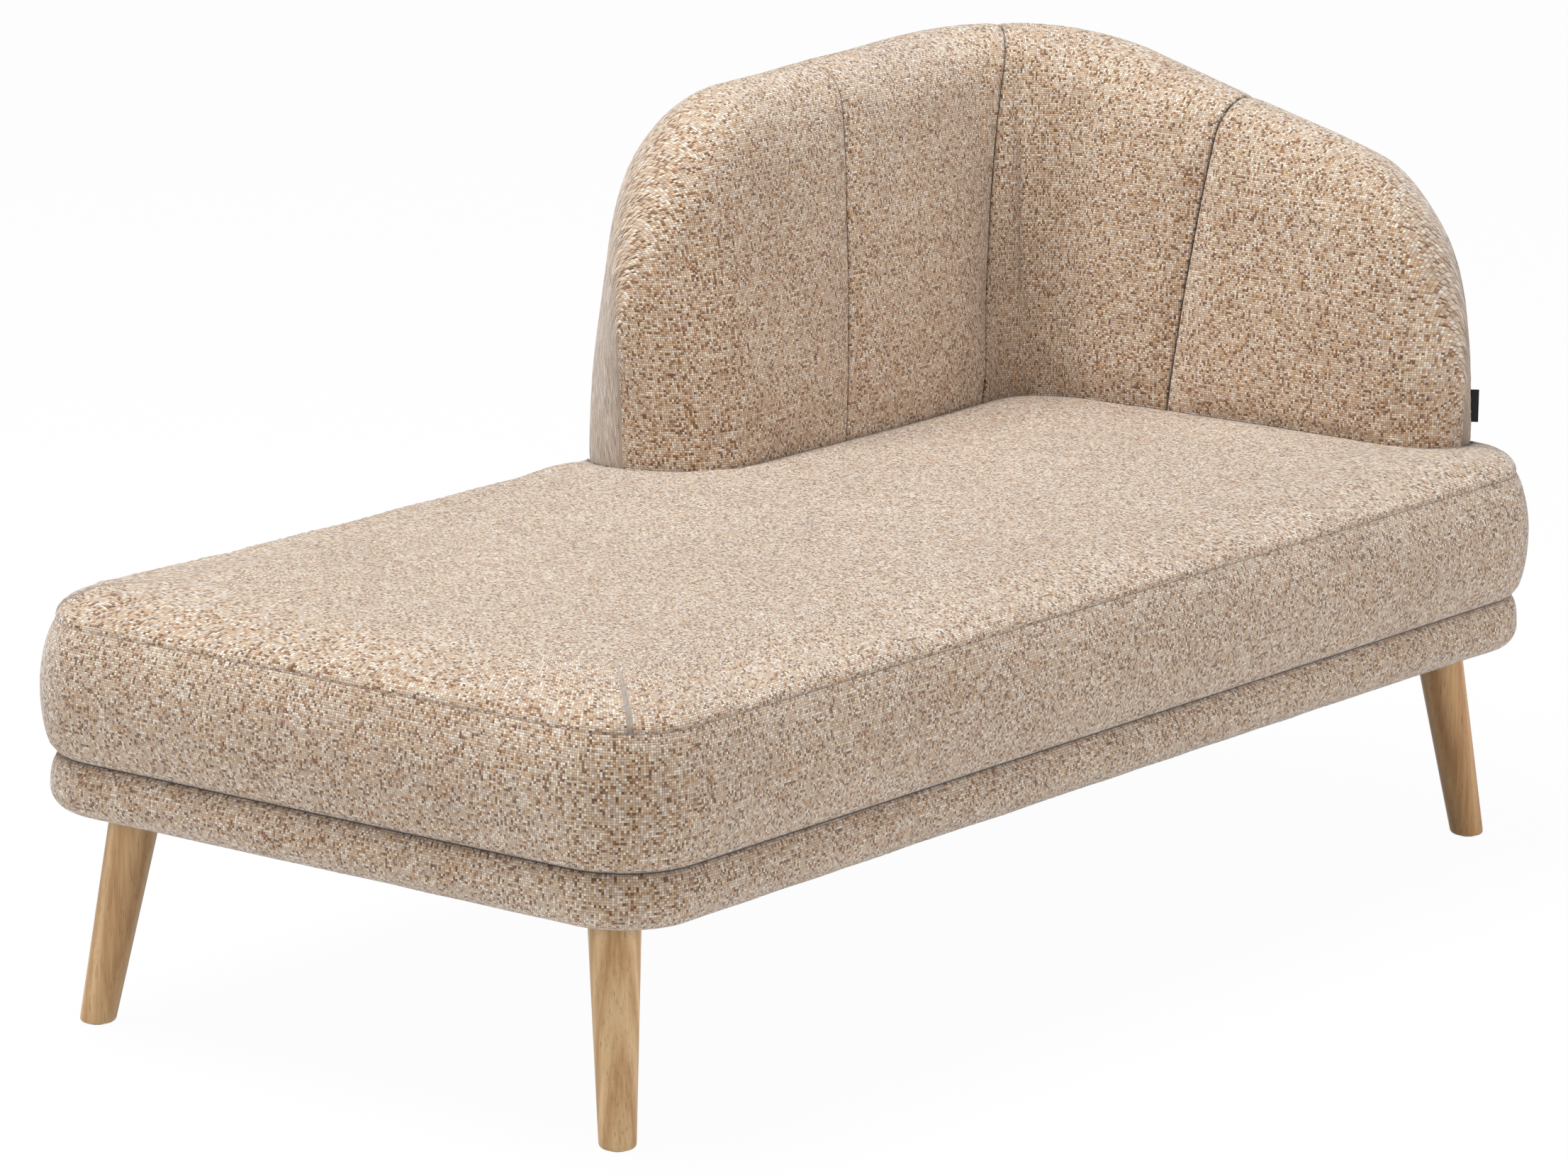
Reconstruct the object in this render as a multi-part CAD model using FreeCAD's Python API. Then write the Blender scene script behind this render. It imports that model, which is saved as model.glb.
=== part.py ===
import FreeCAD, Part
import math
import os

from FreeCAD import Placement, Rotation, Vector

# Chaise longue, millimetres. The origin is on the floor under the middle of the seat, +Z is up,
# +X points to the head end and -Y to the long side that is open.

# Driving dimensions of the base
BASE_LENGTH = 1600.0
BASE_WIDTH = 790.0
BASE_CORNER_R = 90.0
LEAST_CORNER_R = 35.0
BASE_BOTTOM_Z = 220.0
CREASE_Z = 278.0
CREASE_INSET = 7.0
BASE_EDGE_R = 24.0

# Wooden frame under the seat
FRAME_INSET = 30.0
FRAME_BOTTOM_Z = 222.0
RAIL_HEIGHT = 50.0
RAIL_THICKNESS = 28.0
CORNER_BLOCK = 150.0
BEARER_LENGTH = 620.0
CROSS_RAIL_COUNT = 3
CROSS_RAIL_PITCH = 400.0
CROSS_RAIL_THICKNESS = 28.0
CROSS_RAIL_HEIGHT = 40.0

# Webbing and lining on the frame
STRAP_WIDTH = 70.0
STRAP_THICKNESS = 1.9
CROSS_STRAP_COUNT = 9
CROSS_STRAP_PITCH = 160.0
LONG_STRAP_COUNT = 3
LONG_STRAP_PITCH = 200.0
STRAP_SEAT = 20.0
FELT_THICKNESS = 2.0
DUST_COVER_THICKNESS = 1.0

# Seat cushion, with the shares of its height at which its side and the base band change slope
SIDE_SHARES = (0.0, 0.1, 0.25, 0.45, 0.65, 0.83, 1.0)
BAND_SHARES = (0.5, 0.8, 1.0)
SEAT_BULGE = 9.5
BULGE_FULLNESS = 0.6
SEAM_Z = 412.7
SEAM_INSET = 6.0
CROWN_Z = 446.0
CROWN_PROFILE = ((0.0, 0.0), (0.2, -1.5), (0.42, 3.0), (0.62, 14.0), (0.78, 40.0), (0.9, 95.0), (1.0, 210.0))
FABRIC = 2.4
SOFT_GAP = 0.3
IMPRINT_MARGIN = 2.0

# Legs
LEG_FOOT_INSET_X = 51.0
LEG_FOOT_INSET_Y = 63.0
LEG_SPLAY = 29.0
LEG_TOP_R = 26.0
LEG_FOOT_R = 18.0
LEG_FOOT_ROUND = 4.5
GLIDE_R = 11.0
GLIDE_THICKNESS = 4.0
GLIDE_PROUD = 1.5
GLIDE_EASE = 0.6
LEG_BOLT_R = 4.0
LEG_BOLT_IN_LEG = 45.0
LEG_BOLT_IN_BLOCK = 30.0
INSERT_R = 6.5
INSERT_LENGTH = 26.0
FIT_GAP = 0.15

# Backrest: a wall that stands on the seat and turns round the corner of the head end
BACK_INSET = 7.0
BACK_LONG_SIDE = 760.0
BACK_HEAD_SIDE = 709.5
BACK_BOTTOM_Z = 424.0
BACK_TOP_Z = 849.0
BACK_TURN_R = 160.0
LONG_THICKNESS = 200.0
HEAD_THICKNESS = 132.0
TOP_THICKNESS = 110.0
SIDE_BOW = 7.0
LONG_LEAN = 0.05
HEAD_LEAN = 0.03
BLEND_FROM = 0.6
BLEND_LEFT = 0.3
RIDGE_FALL_LONG = 0.045
RIDGE_FALL_HEAD = 0.27
RIDGE_CREST_R = 70.0
LONG_DOME_RUN = 200.0
LONG_TIP_HEIGHT = 138.298
HEAD_DOME_RUN = 132.0
HEAD_TIP_HEIGHT = 37.460

# How finely round forms are divided, so that their faces stay flat and few
ROUND_SIDES = 12
LEG_SIDES = 24
FOOT_STEPS = 3
CORNER_STEPS = 8
EDGE_STEPS = 4
SIDE_STEPS = 2
CAP_STEPS = 4
TIP_STEPS = 5
TURN_STEPS = 8

# Seams of the backrest, measured along its centre line at the foot and at the top
PANEL_SEAMS = ((262.0, 345.0), (520.0, 640.0), (892.0, 940.0))
SEAM_GAP = 1.0
REAR_SEAM_OFFSET = 38.0

# Frame inside the backrest
PAD_INNER = 40.0
PAD_OUTER = 14.0
PAD_TOP = 40.0
PAD_END = 34.0
LINING = 1.0
SILL_THICKNESS = 18.0
BOARD_THICKNESS = 4.0
RIB_THICKNESS = 18.0
FREE_RIBS = (76.0, 325.0, 600.0, 720.0, 1150.0)
POST_THICKNESS = 22.0
POST_WIDTH = 60.0
POST_TOP_Z = 620.0
LONG_POSTS_FROM_HEAD = (553.0, 248.0)
HEAD_POSTS_FROM_FRONT = (421.5, 221.5)
POST_SCREW_R = 4.0
POST_SCREW_HEAD_R = 7.0
POST_SCREW_HEAD = 5.0
POST_SCREW_Z = (236.0, 258.0)
POST_SCREW_BITE = 22.0
WASHER_R = 10.0
WASHER_THICKNESS = 1.6

# Sewn tab at the front end of the backrest
TAG_HEIGHT = 36.0
TAG_BOTTOM_Z = 458.0
TAG_PROUD = 7.0
TAG_SEWN_IN = 12.0
TAG_THICKNESS = 0.8

# Sizes that follow from the driving dimensions
FRAME_TOP_Z = FRAME_BOTTOM_Z + RAIL_HEIGHT
FRAME_HALF_X = BASE_LENGTH / 2 - FRAME_INSET
FRAME_HALF_Y = BASE_WIDTH / 2 - FRAME_INSET
RAIL_INNER_X = FRAME_HALF_X - RAIL_THICKNESS
RAIL_INNER_Y = FRAME_HALF_Y - RAIL_THICKNESS
FELT_BOTTOM_Z = FRAME_TOP_Z + 2 * STRAP_THICKNESS
FELT_TOP_Z = FELT_BOTTOM_Z + FELT_THICKNESS
LEG_FOOT_X = BASE_LENGTH / 2 - LEG_FOOT_INSET_X
LEG_FOOT_Y = BASE_WIDTH / 2 - LEG_FOOT_INSET_Y
BACK_OUTER_X = BASE_LENGTH / 2 - BACK_INSET
BACK_OUTER_Y = BASE_WIDTH / 2 - BACK_INSET
BACK_FOOT_END_X = BACK_OUTER_X - BACK_LONG_SIDE
BACK_FRONT_END_Y = BACK_OUTER_Y - BACK_HEAD_SIDE
LONG_POST_X = [BACK_OUTER_X - run for run in LONG_POSTS_FROM_HEAD]
HEAD_POST_Y = [BACK_FRONT_END_Y + run for run in HEAD_POSTS_FROM_FRONT]
LINE_X = BACK_OUTER_X - HEAD_THICKNESS / 2
LINE_Y = BACK_OUTER_Y - LONG_THICKNESS / 2
LONG_RUN = LINE_X - BACK_TURN_R - BACK_FOOT_END_X
TURN_RUN = math.pi / 2 * BACK_TURN_R
HEAD_RUN = LINE_Y - BACK_TURN_R - BACK_FRONT_END_Y
BACK_RUN = LONG_RUN + TURN_RUN + HEAD_RUN
CREST_AT = LONG_RUN + TURN_RUN / 2
LONG_FALL = RIDGE_FALL_LONG * (math.hypot(CREST_AT, RIDGE_CREST_R) - RIDGE_CREST_R)
HEAD_FALL = RIDGE_FALL_HEAD * (math.hypot(BACK_RUN - CREST_AT, RIDGE_CREST_R) - RIDGE_CREST_R)
LONG_DOME_DROP = BACK_TOP_Z - BACK_BOTTOM_Z - LONG_FALL - LONG_TIP_HEIGHT
HEAD_DOME_DROP = BACK_TOP_Z - BACK_BOTTOM_Z - HEAD_FALL - HEAD_TIP_HEIGHT
BEARER_THICKNESS = RAIL_INNER_Y - LINE_Y - POST_THICKNESS / 2
SILL_BOTTOM_Z = BACK_BOTTOM_Z + LINING + SOFT_GAP
SILL_TOP_Z = SILL_BOTTOM_Z + SILL_THICKNESS
UP = Vector(0, 0, 1)
FAR = 3000.0
REGION_MARGIN = 60.0
REGION_DEPTH = 250.0
THROUGH = 20.0


def save(name, shape):
    """Write one sub-part and say how many solids it has."""
    shape.exportStep(f"parts/{name}.step")
    print(name, len(shape.Solids), "valid" if shape.isValid() else "NOT VALID", round(shape.Volume / 1000, 1))


def box(x0, x1, y0, y1, z0, z1):
    return Part.makeBox(x1 - x0, y1 - y0, z1 - z0, Vector(x0, y0, z0))


def slab(z0, z1):
    """All the space between two heights."""
    return box(-FAR, FAR, -FAR, FAR, z0, z1)


def bar(sides, r, low, high):
    """Upright bar with flat sides, from low to high."""
    corners = [Vector(r * math.cos(math.tau * n / sides), r * math.sin(math.tau * n / sides), low)
               for n in range(sides)]
    return Part.Face(Part.makePolygon(corners + corners[:1])).extrude(Vector(0, 0, high - low))


def flat(a, b, c, d):
    return abs((b - a).cross(c - a).dot(d - a)) < 1e-6


def skinned(rings):
    """Solid over rings with as many corners each: flat where four corners allow it, else folded in two."""
    faces = [Part.Face(Part.makePolygon(ring + ring[:1])) for ring in (rings[0], rings[-1])]
    for low, high in zip(rings, rings[1:]):
        for n in range(len(low)):
            m = (n + 1) % len(low)
            a, b, c, d = low[n], low[m], high[m], high[n]
            outlines = [[a, b, c, d, a]] if flat(a, b, c, d) else [[a, b, c, a], [a, c, d, a]]
            faces += [Part.Face(Part.makePolygon(outline)) for outline in outlines]
    shell = Part.Shell(faces)
    shell.sewShape()
    solid = Part.Solid(shell)
    if solid.Volume < 0:
        solid.reverse()
    return solid


def rounded_outline(outset, z):
    """Corners of the base's rounded rectangle at height z, moved outwards by outset."""
    hx = BASE_LENGTH / 2 + outset
    hy = BASE_WIDTH / 2 + outset
    r = max(BASE_CORNER_R + outset, LEAST_CORNER_R)
    corners = []
    for quarter_turn, (sx, sy) in enumerate(((1, 1), (-1, 1), (-1, -1), (1, -1))):
        for step in range(CORNER_STEPS + 1):
            angle = math.pi / 2 * (quarter_turn + step / CORNER_STEPS)
            centre = Vector(sx * (hx - r), sy * (hy - r), z)
            corners.append(centre + Vector(math.cos(angle), math.sin(angle), 0) * r)
    return corners


def rounded_plate(outset, z0, z1):
    corners = rounded_outline(outset, z0)
    return Part.Face(Part.makePolygon(corners + corners[:1])).extrude(Vector(0, 0, z1 - z0))


def stacked(levels, inset=0.0):
    """Solid through rounded rectangles given as (height, outset)."""
    return skinned([rounded_outline(outset - inset, z) for z, outset in levels])


def base_levels():
    """Side profile of the padded base band: rolled bottom edge, full middle, drawn-in top."""
    r = BASE_EDGE_R
    levels = []
    for step in range(EDGE_STEPS + 1):
        angle = math.pi / 2 * step / EDGE_STEPS
        levels.append((BASE_BOTTOM_Z + r * (1 - math.cos(angle)), -r * (1 - math.sin(angle))))
    height = CREASE_Z - BASE_BOTTOM_Z - r
    for share in BAND_SHARES:
        levels.append((BASE_BOTTOM_Z + r + height * share, -CREASE_INSET * share ** 3))
    return levels


def side_levels():
    """Side profile of the seat cushion from the crease to the top seam."""
    height = SEAM_Z - CREASE_Z
    levels = []
    for share in SIDE_SHARES:
        ends = -CREASE_INSET + (CREASE_INSET - SEAM_INSET) * share
        belly = (4 * share * (1 - share)) ** BULGE_FULLNESS
        levels.append((CREASE_Z + height * share, ends + (SEAT_BULGE - ends) * belly))
    return levels


def crown_levels(drop=0.0):
    """Profile of the crowned top of the seat cushion, from the seam to the middle."""
    height = CROWN_Z - SEAM_Z - drop
    return [(SEAM_Z + height * share, -SEAM_INSET - run) for share, run in CROWN_PROFILE]


# Seat and base


def corner_signs():
    return [(sx, sy) for sx in (-1, 1) for sy in (-1, 1)]


def leg_axis(sx, sy):
    """Foot and top of one leg's axis."""
    foot = Vector(sx * LEG_FOOT_X, sy * LEG_FOOT_Y, 0)
    top = Vector(sx * (LEG_FOOT_X - LEG_SPLAY), sy * (LEG_FOOT_Y - LEG_SPLAY), BASE_BOTTOM_Z)
    return foot, top


def along(start, end):
    """Placement whose Z axis runs from start to end."""
    return Placement(start, Rotation(UP, end - start))


def rod(centre, axis, r, low, high):
    """Round bar on an axis through centre, from low to high along it."""
    solid = bar(ROUND_SIDES, r, low, high)
    solid.Placement = along(centre, centre + axis)
    return solid


def leg(sx, sy):
    """Tapered leg with a rounded foot, cut level at the floor and under the base."""
    foot, top = leg_axis(sx, sy)
    slope = (LEG_TOP_R - LEG_FOOT_R) / BASE_BOTTOM_Z
    levels = []
    for step in range(FOOT_STEPS + 1):
        angle = math.pi / 2 * step / FOOT_STEPS
        z = GLIDE_PROUD + LEG_FOOT_ROUND * (1 - math.cos(angle))
        levels.append((z, LEG_FOOT_R + slope * z - LEG_FOOT_ROUND * (1 - math.sin(angle))))
    levels.append((BASE_BOTTOM_Z, LEG_TOP_R))
    rings = []
    for z, r in levels:
        centre = foot + (top - foot) * (z / BASE_BOTTOM_Z)
        turns = [math.tau * n / LEG_SIDES for n in range(LEG_SIDES)]
        rings.append([centre + Vector(r * math.cos(turn), r * math.sin(turn), 0) for turn in turns])
    recess = rod(foot, UP, GLIDE_R + FIT_GAP, 0.0, GLIDE_THICKNESS)
    bore = rod(top, top - foot, LEG_BOLT_R + FIT_GAP, -LEG_BOLT_IN_LEG - FIT_GAP, LEG_BOLT_IN_BLOCK)
    return skinned(rings).cut(recess).cut(bore)


def glide(sx, sy):
    """Hard disc under the foot, with its lower edge eased."""
    foot, _ = leg_axis(sx, sy)
    wide = rod(foot, UP, GLIDE_R, GLIDE_EASE, GLIDE_THICKNESS)
    return wide.fuse(rod(foot, UP, GLIDE_R - GLIDE_EASE, 0.0, GLIDE_EASE))


def leg_bolt(sx, sy):
    foot, top = leg_axis(sx, sy)
    return rod(top, top - foot, LEG_BOLT_R, -LEG_BOLT_IN_LEG, LEG_BOLT_IN_BLOCK)


def insert_outline(sx, sy, extra=0.0):
    """Outside of the threaded insert in a corner block."""
    foot, top = leg_axis(sx, sy)
    sleeve = rod(top, top - foot, INSERT_R + extra, 0.0, INSERT_LENGTH + extra)
    return sleeve.common(slab(FRAME_BOTTOM_Z, FAR))


def leg_insert(sx, sy):
    foot, top = leg_axis(sx, sy)
    bore = rod(top, top - foot, LEG_BOLT_R + FIT_GAP, -THROUGH, INSERT_LENGTH + THROUGH)
    return insert_outline(sx, sy).cut(bore)


def corner_block(sx, sy):
    """Plywood block with the base's round corner, bored for the leg's insert and bolt."""
    plate = rounded_plate(-FRAME_INSET, FRAME_BOTTOM_Z, FRAME_TOP_Z)
    x0, x1 = sorted((sx * (FRAME_HALF_X - CORNER_BLOCK), sx * FAR))
    y0, y1 = sorted((sy * (FRAME_HALF_Y - CORNER_BLOCK), sy * FAR))
    block = plate.common(box(x0, x1, y0, y1, 0, FAR))
    foot, top = leg_axis(sx, sy)
    bore = rod(top, top - foot, LEG_BOLT_R + FIT_GAP, -THROUGH, LEG_BOLT_IN_BLOCK + FIT_GAP)
    return block.cut(insert_outline(sx, sy, FIT_GAP)).cut(bore)


def long_rail(sy):
    end = FRAME_HALF_X - CORNER_BLOCK
    y0, y1 = sorted((sy * RAIL_INNER_Y, sy * FRAME_HALF_Y))
    return box(-end, end, y0, y1, FRAME_BOTTOM_Z, FRAME_TOP_Z)


def end_rail(sx):
    end = FRAME_HALF_Y - CORNER_BLOCK
    x0, x1 = sorted((sx * RAIL_INNER_X, sx * FRAME_HALF_X))
    return box(x0, x1, -end, end, FRAME_BOTTOM_Z, FRAME_TOP_Z)


def backrest_bearer():
    """Beam glued inside the back rail, to bring its face to the backrest's posts."""
    y0 = RAIL_INNER_Y - BEARER_THICKNESS
    x1 = FRAME_HALF_X - CORNER_BLOCK
    return box(x1 - BEARER_LENGTH, x1, y0, RAIL_INNER_Y, FRAME_BOTTOM_Z, FRAME_TOP_Z)


def cross_rails():
    rails = []
    for n in range(CROSS_RAIL_COUNT):
        x = (n - (CROSS_RAIL_COUNT - 1) / 2) * CROSS_RAIL_PITCH
        half = CROSS_RAIL_THICKNESS / 2
        rails.append(box(x - half, x + half, -RAIL_INNER_Y, RAIL_INNER_Y,
                         FRAME_BOTTOM_Z, FRAME_BOTTOM_Z + CROSS_RAIL_HEIGHT))
    return Part.makeCompound(rails).cut(backrest_bearer())


def cross_straps():
    """Webbing from rail to rail, notched where a post stands."""
    straps = []
    end = RAIL_INNER_Y + STRAP_SEAT
    for n in range(CROSS_STRAP_COUNT):
        x = (n - (CROSS_STRAP_COUNT - 1) / 2) * CROSS_STRAP_PITCH
        straps.append(box(x - STRAP_WIDTH / 2, x + STRAP_WIDTH / 2, -end, end,
                          FRAME_TOP_Z, FRAME_TOP_Z + STRAP_THICKNESS))
    return Part.makeCompound(straps).cut(post_clearance())


def long_straps():
    straps = []
    end = RAIL_INNER_X + STRAP_SEAT
    for n in range(LONG_STRAP_COUNT):
        y = (n - (LONG_STRAP_COUNT - 1) / 2) * LONG_STRAP_PITCH
        straps.append(box(-end, end, y - STRAP_WIDTH / 2, y + STRAP_WIDTH / 2,
                          FRAME_TOP_Z + STRAP_THICKNESS, FRAME_TOP_Z + 2 * STRAP_THICKNESS))
    return Part.makeCompound(straps).cut(post_clearance())


def posts():
    """Hardwood posts that tie the backrest to the frame under the seat."""
    made = []
    outer_y = RAIL_INNER_Y - BEARER_THICKNESS
    for x in LONG_POST_X:
        made.append(box(x - POST_WIDTH / 2, x + POST_WIDTH / 2, outer_y - POST_THICKNESS, outer_y,
                        FRAME_BOTTOM_Z, POST_TOP_Z))
    for y in HEAD_POST_Y:
        made.append(box(RAIL_INNER_X - POST_THICKNESS, RAIL_INNER_X, y - POST_WIDTH / 2, y + POST_WIDTH / 2,
                        FRAME_BOTTOM_Z, POST_TOP_Z))
    return made


def post_clearance():
    """The posts' room through felt, foam and cover."""
    room = []
    for post in posts():
        b = post.BoundBox
        room.append(box(b.XMin - SOFT_GAP, b.XMax + SOFT_GAP, b.YMin - SOFT_GAP, b.YMax + SOFT_GAP,
                        b.ZMin, b.ZMax))
    return Part.makeCompound(room)


def post_screw_places():
    """Head seat and driving direction of each coach screw."""
    places = []
    face_y = RAIL_INNER_Y - BEARER_THICKNESS - POST_THICKNESS
    face_x = RAIL_INNER_X - POST_THICKNESS
    for z in POST_SCREW_Z:
        for x in LONG_POST_X:
            places.append((Vector(x, face_y, z), Vector(0, 1, 0)))
        for y in HEAD_POST_Y:
            places.append((Vector(face_x, y, z), Vector(1, 0, 0)))
    return places


def post_screw_bore(seat, axis):
    """Hole for the screw's shank through the post and into the rail or bearer."""
    depth = POST_THICKNESS + POST_SCREW_BITE + FIT_GAP
    return rod(seat, axis, POST_SCREW_R + FIT_GAP, -WASHER_THICKNESS, depth)


def post_screw(seat, axis):
    """Coach screw: hexagon head that bears on its washer, and a plain shank."""
    head = bar(6, POST_SCREW_HEAD_R, -WASHER_THICKNESS - POST_SCREW_HEAD, -WASHER_THICKNESS)
    head.Placement = along(seat, seat + axis)
    shank = rod(seat, axis, POST_SCREW_R, -WASHER_THICKNESS, POST_THICKNESS + POST_SCREW_BITE)
    return head.fuse(shank)


def post_washer(seat, axis):
    disc = rod(seat, axis, WASHER_R, -WASHER_THICKNESS, 0.0)
    return disc.cut(post_screw_bore(seat, axis))


def post_bores():
    return Part.makeCompound([post_screw_bore(seat, axis) for seat, axis in post_screw_places()])


# Backrest


def station(s):
    """Point and outward normal of the centre line, s along it from its tip at the foot end."""
    if s <= LONG_RUN:
        return Vector(BACK_FOOT_END_X + s, LINE_Y, 0), Vector(0, 1, 0)
    centre = Vector(LINE_X - BACK_TURN_R, LINE_Y - BACK_TURN_R, 0)
    if s <= LONG_RUN + TURN_RUN:
        angle = (s - LONG_RUN) / BACK_TURN_R
        normal = Vector(math.sin(angle), math.cos(angle), 0)
        return centre + normal * BACK_TURN_R, normal
    return Vector(LINE_X, centre.y - (s - LONG_RUN - TURN_RUN), 0), Vector(1, 0, 0)


def blend(s):
    """0 on the long side, 1 on the head end, smooth between them."""
    start = BLEND_FROM * LONG_RUN
    end = BACK_RUN - BLEND_LEFT * HEAD_RUN
    t = min(max((s - start) / (end - start), 0.0), 1.0)
    return t * t * (3 - 2 * t)


def mixed(s, long_value, head_value):
    w = blend(s)
    return long_value * (1 - w) + head_value * w


def crest_drop(run):
    return math.hypot(max(run, 0.0), RIDGE_CREST_R) - RIDGE_CREST_R


def quarter(share):
    """Height of a quarter circle at share of its run, both from 0 to 1."""
    return math.sqrt(max(0.0, 1 - (1 - min(share, 1.0)) ** 2))


class Layer:
    """How far a layer of the backrest lies inside its cover."""

    def __init__(self, inner=0.0, outer=0.0, top=0.0, end=0.0, bottom=0.0):
        self.inner = inner
        self.outer = outer
        self.top = top
        self.end = end
        self.bottom = bottom

    def deeper(self, by):
        return Layer(self.inner + by, self.outer + by, self.top + by, self.end + by, self.bottom)


def ridge_z(s, layer):
    """Top of the backrest at a station, with both ends domed."""
    fall = RIDGE_FALL_LONG * crest_drop(CREST_AT - s) + RIDGE_FALL_HEAD * crest_drop(s - CREST_AT)
    top = BACK_TOP_Z - fall
    long_rise = quarter((s - layer.end) / (LONG_DOME_RUN - layer.end))
    head_rise = quarter((BACK_RUN - s - layer.end) / (HEAD_DOME_RUN - layer.end))
    long_dome = (LONG_DOME_DROP - layer.top) * (1 - long_rise)
    head_dome = (HEAD_DOME_DROP - layer.top) * (1 - head_rise)
    return top - layer.top - max(long_dome, head_dome)


def section(s, layer):
    """Corners of the upright cross-section: level bottom, two bowed sides and a round top."""
    point, normal = station(s)
    half = mixed(s, LONG_THICKNESS, HEAD_THICKNESS) / 2
    lean = mixed(s, LONG_LEAN, HEAD_LEAN)
    from_tip = min(s, BACK_RUN - s) - layer.end
    narrow = quarter(from_tip / (half - layer.end))
    top = ridge_z(s, layer)
    full = TOP_THICKNESS / 2
    cover_top = top + layer.top
    cap_share = min(1.0, (cover_top - BACK_BOTTOM_Z) / (2 * full))
    cover_shoulder = cover_top - cap_share * full
    shoulder = top - cap_share * (full - layer.top)
    bottom = BACK_BOTTOM_Z + layer.bottom

    def knot(n):
        share = n / SIDE_STEPS
        return half + (full - half) * share + 4 * SIDE_BOW * share * (1 - share)

    def half_at(z):
        """Half thickness on straight lines between the knots, which every layer shares."""
        steps = (z - BACK_BOTTOM_Z) / (cover_shoulder - BACK_BOTTOM_Z) * SIDE_STEPS
        n = min(max(math.floor(steps), 0), SIDE_STEPS - 1)
        return knot(n) + (knot(n + 1) - knot(n)) * (steps - n)

    def at(side, offset, z):
        return point + normal * (side * offset * narrow + lean * (z - BACK_BOTTOM_Z)) + UP * z

    def wall(side, inset):
        """One side from its foot to just short of the ridge."""
        rise = cover_shoulder - BACK_BOTTOM_Z
        heights = [bottom] + [BACK_BOTTOM_Z + rise * n / SIDE_STEPS for n in range(1, SIDE_STEPS)]
        corners = [at(side, half_at(z) - inset, z) for z in heights]
        for n in range(CAP_STEPS):
            angle = math.pi / 2 * n / CAP_STEPS
            z = shoulder + (top - shoulder) * math.sin(angle)
            corners.append(at(side, (full - inset) * math.cos(angle), z))
        return corners

    return wall(1, layer.outer) + [at(1, 0, top)] + wall(-1, layer.inner)[::-1]


def loft_stations(layer):
    """Stations of the loft: even steps round both tips and the turn, wider ones on the straights."""
    rings = [1 - math.cos(math.pi / 2 * (n + 0.5) / (TIP_STEPS + 0.5)) for n in range(TIP_STEPS + 1)]
    long_end = [layer.end + (LONG_THICKNESS / 2 - layer.end) * ring for ring in rings]
    head_end = [layer.end + (HEAD_THICKNESS / 2 - layer.end) * ring for ring in rings]
    long_end += [(long_end[-1] + LONG_DOME_RUN) / 2, LONG_DOME_RUN, (LONG_DOME_RUN + LONG_RUN) / 2]
    head_end += [(head_end[-1] + HEAD_DOME_RUN) / 2, HEAD_DOME_RUN, (HEAD_DOME_RUN + HEAD_RUN) / 2]
    turn = [LONG_RUN + TURN_RUN * n / TURN_STEPS for n in range(TURN_STEPS + 1)]
    return long_end + turn + [BACK_RUN - s for s in reversed(head_end)]


def backrest_body(layer):
    return skinned([section(s, layer) for s in loft_stations(layer)])


def prism(layer, z0, z1):
    """Upright block over the backrest's footprint at its foot."""
    inner = []
    outer = []
    for s in loft_stations(layer):
        point, normal = station(s)
        half = mixed(s, LONG_THICKNESS, HEAD_THICKNESS) / 2
        narrow = quarter((min(s, BACK_RUN - s) - layer.end) / (half - layer.end))
        inner.append(point - normal * ((half - layer.inner) * narrow) + UP * z0)
        outer.append(point + normal * ((half - layer.outer) * narrow) + UP * z0)
    corners = inner + outer[::-1]
    return Part.Face(Part.makePolygon(corners + corners[:1])).extrude(Vector(0, 0, z1 - z0))


def grown(by):
    """The backrest's footprint made larger all round."""
    return Layer(-by, -by, 0.0, -by)


def rear_region(offset):
    """All the space on the outer side of the rear seam."""
    rings = []
    z0 = BACK_BOTTOM_Z - REGION_MARGIN
    z1 = BACK_TOP_Z + REGION_MARGIN
    for s in [-REGION_DEPTH] + loft_stations(Layer()) + [BACK_RUN + REGION_DEPTH]:
        point, normal = station(s)
        lean = mixed(s, LONG_LEAN, HEAD_LEAN)
        low = point + normal * (offset + lean * (z0 - BACK_BOTTOM_Z)) + UP * z0
        high = point + normal * (offset + lean * (z1 - BACK_BOTTOM_Z)) + UP * z1
        rings.append([low, low + normal * REGION_DEPTH, high + normal * REGION_DEPTH, high])
    return skinned(rings)


def past_seam(seam, shift):
    """Everything on the head end's side of a panel seam, the seam moved along by shift."""
    low_s, high_s = seam
    low, _ = station(low_s)
    high, _ = station(high_s)
    _, normal = station((low_s + high_s) / 2)
    rise = (high + UP * BACK_TOP_Z) - (low + UP * BACK_BOTTOM_Z)
    across = normal.cross(rise)
    across.normalize()
    space = box(0, 2 * FAR, -FAR, FAR, -FAR, FAR)
    space.Placement = Placement(low + UP * BACK_BOTTOM_Z + across * shift, Rotation(Vector(1, 0, 0), across))
    return space


def backrest_cover():
    """The whole sewn cover as one open-bottomed skin."""
    hollow = Layer(FABRIC, FABRIC, FABRIC, FABRIC, -THROUGH)
    return backrest_body(Layer()).cut(backrest_body(hollow))


def backrest_panels(cover):
    """Front panels from the foot end to the front end, each ending at its seams."""
    front = cover.cut(rear_region(REAR_SEAM_OFFSET))
    panels = []
    for n in range(len(PANEL_SEAMS) + 1):
        panel = front
        if n > 0:
            panel = panel.common(past_seam(PANEL_SEAMS[n - 1], SEAM_GAP / 2))
        if n < len(PANEL_SEAMS):
            panel = panel.cut(past_seam(PANEL_SEAMS[n], -SEAM_GAP / 2))
        panels.append(panel)
    return panels


def core_layer(extra=0.0):
    """Outside of the wooden frame within the backrest's foam."""
    return Layer(PAD_INNER, PAD_OUTER, PAD_TOP, PAD_END, LINING + SOFT_GAP).deeper(extra)


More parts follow.
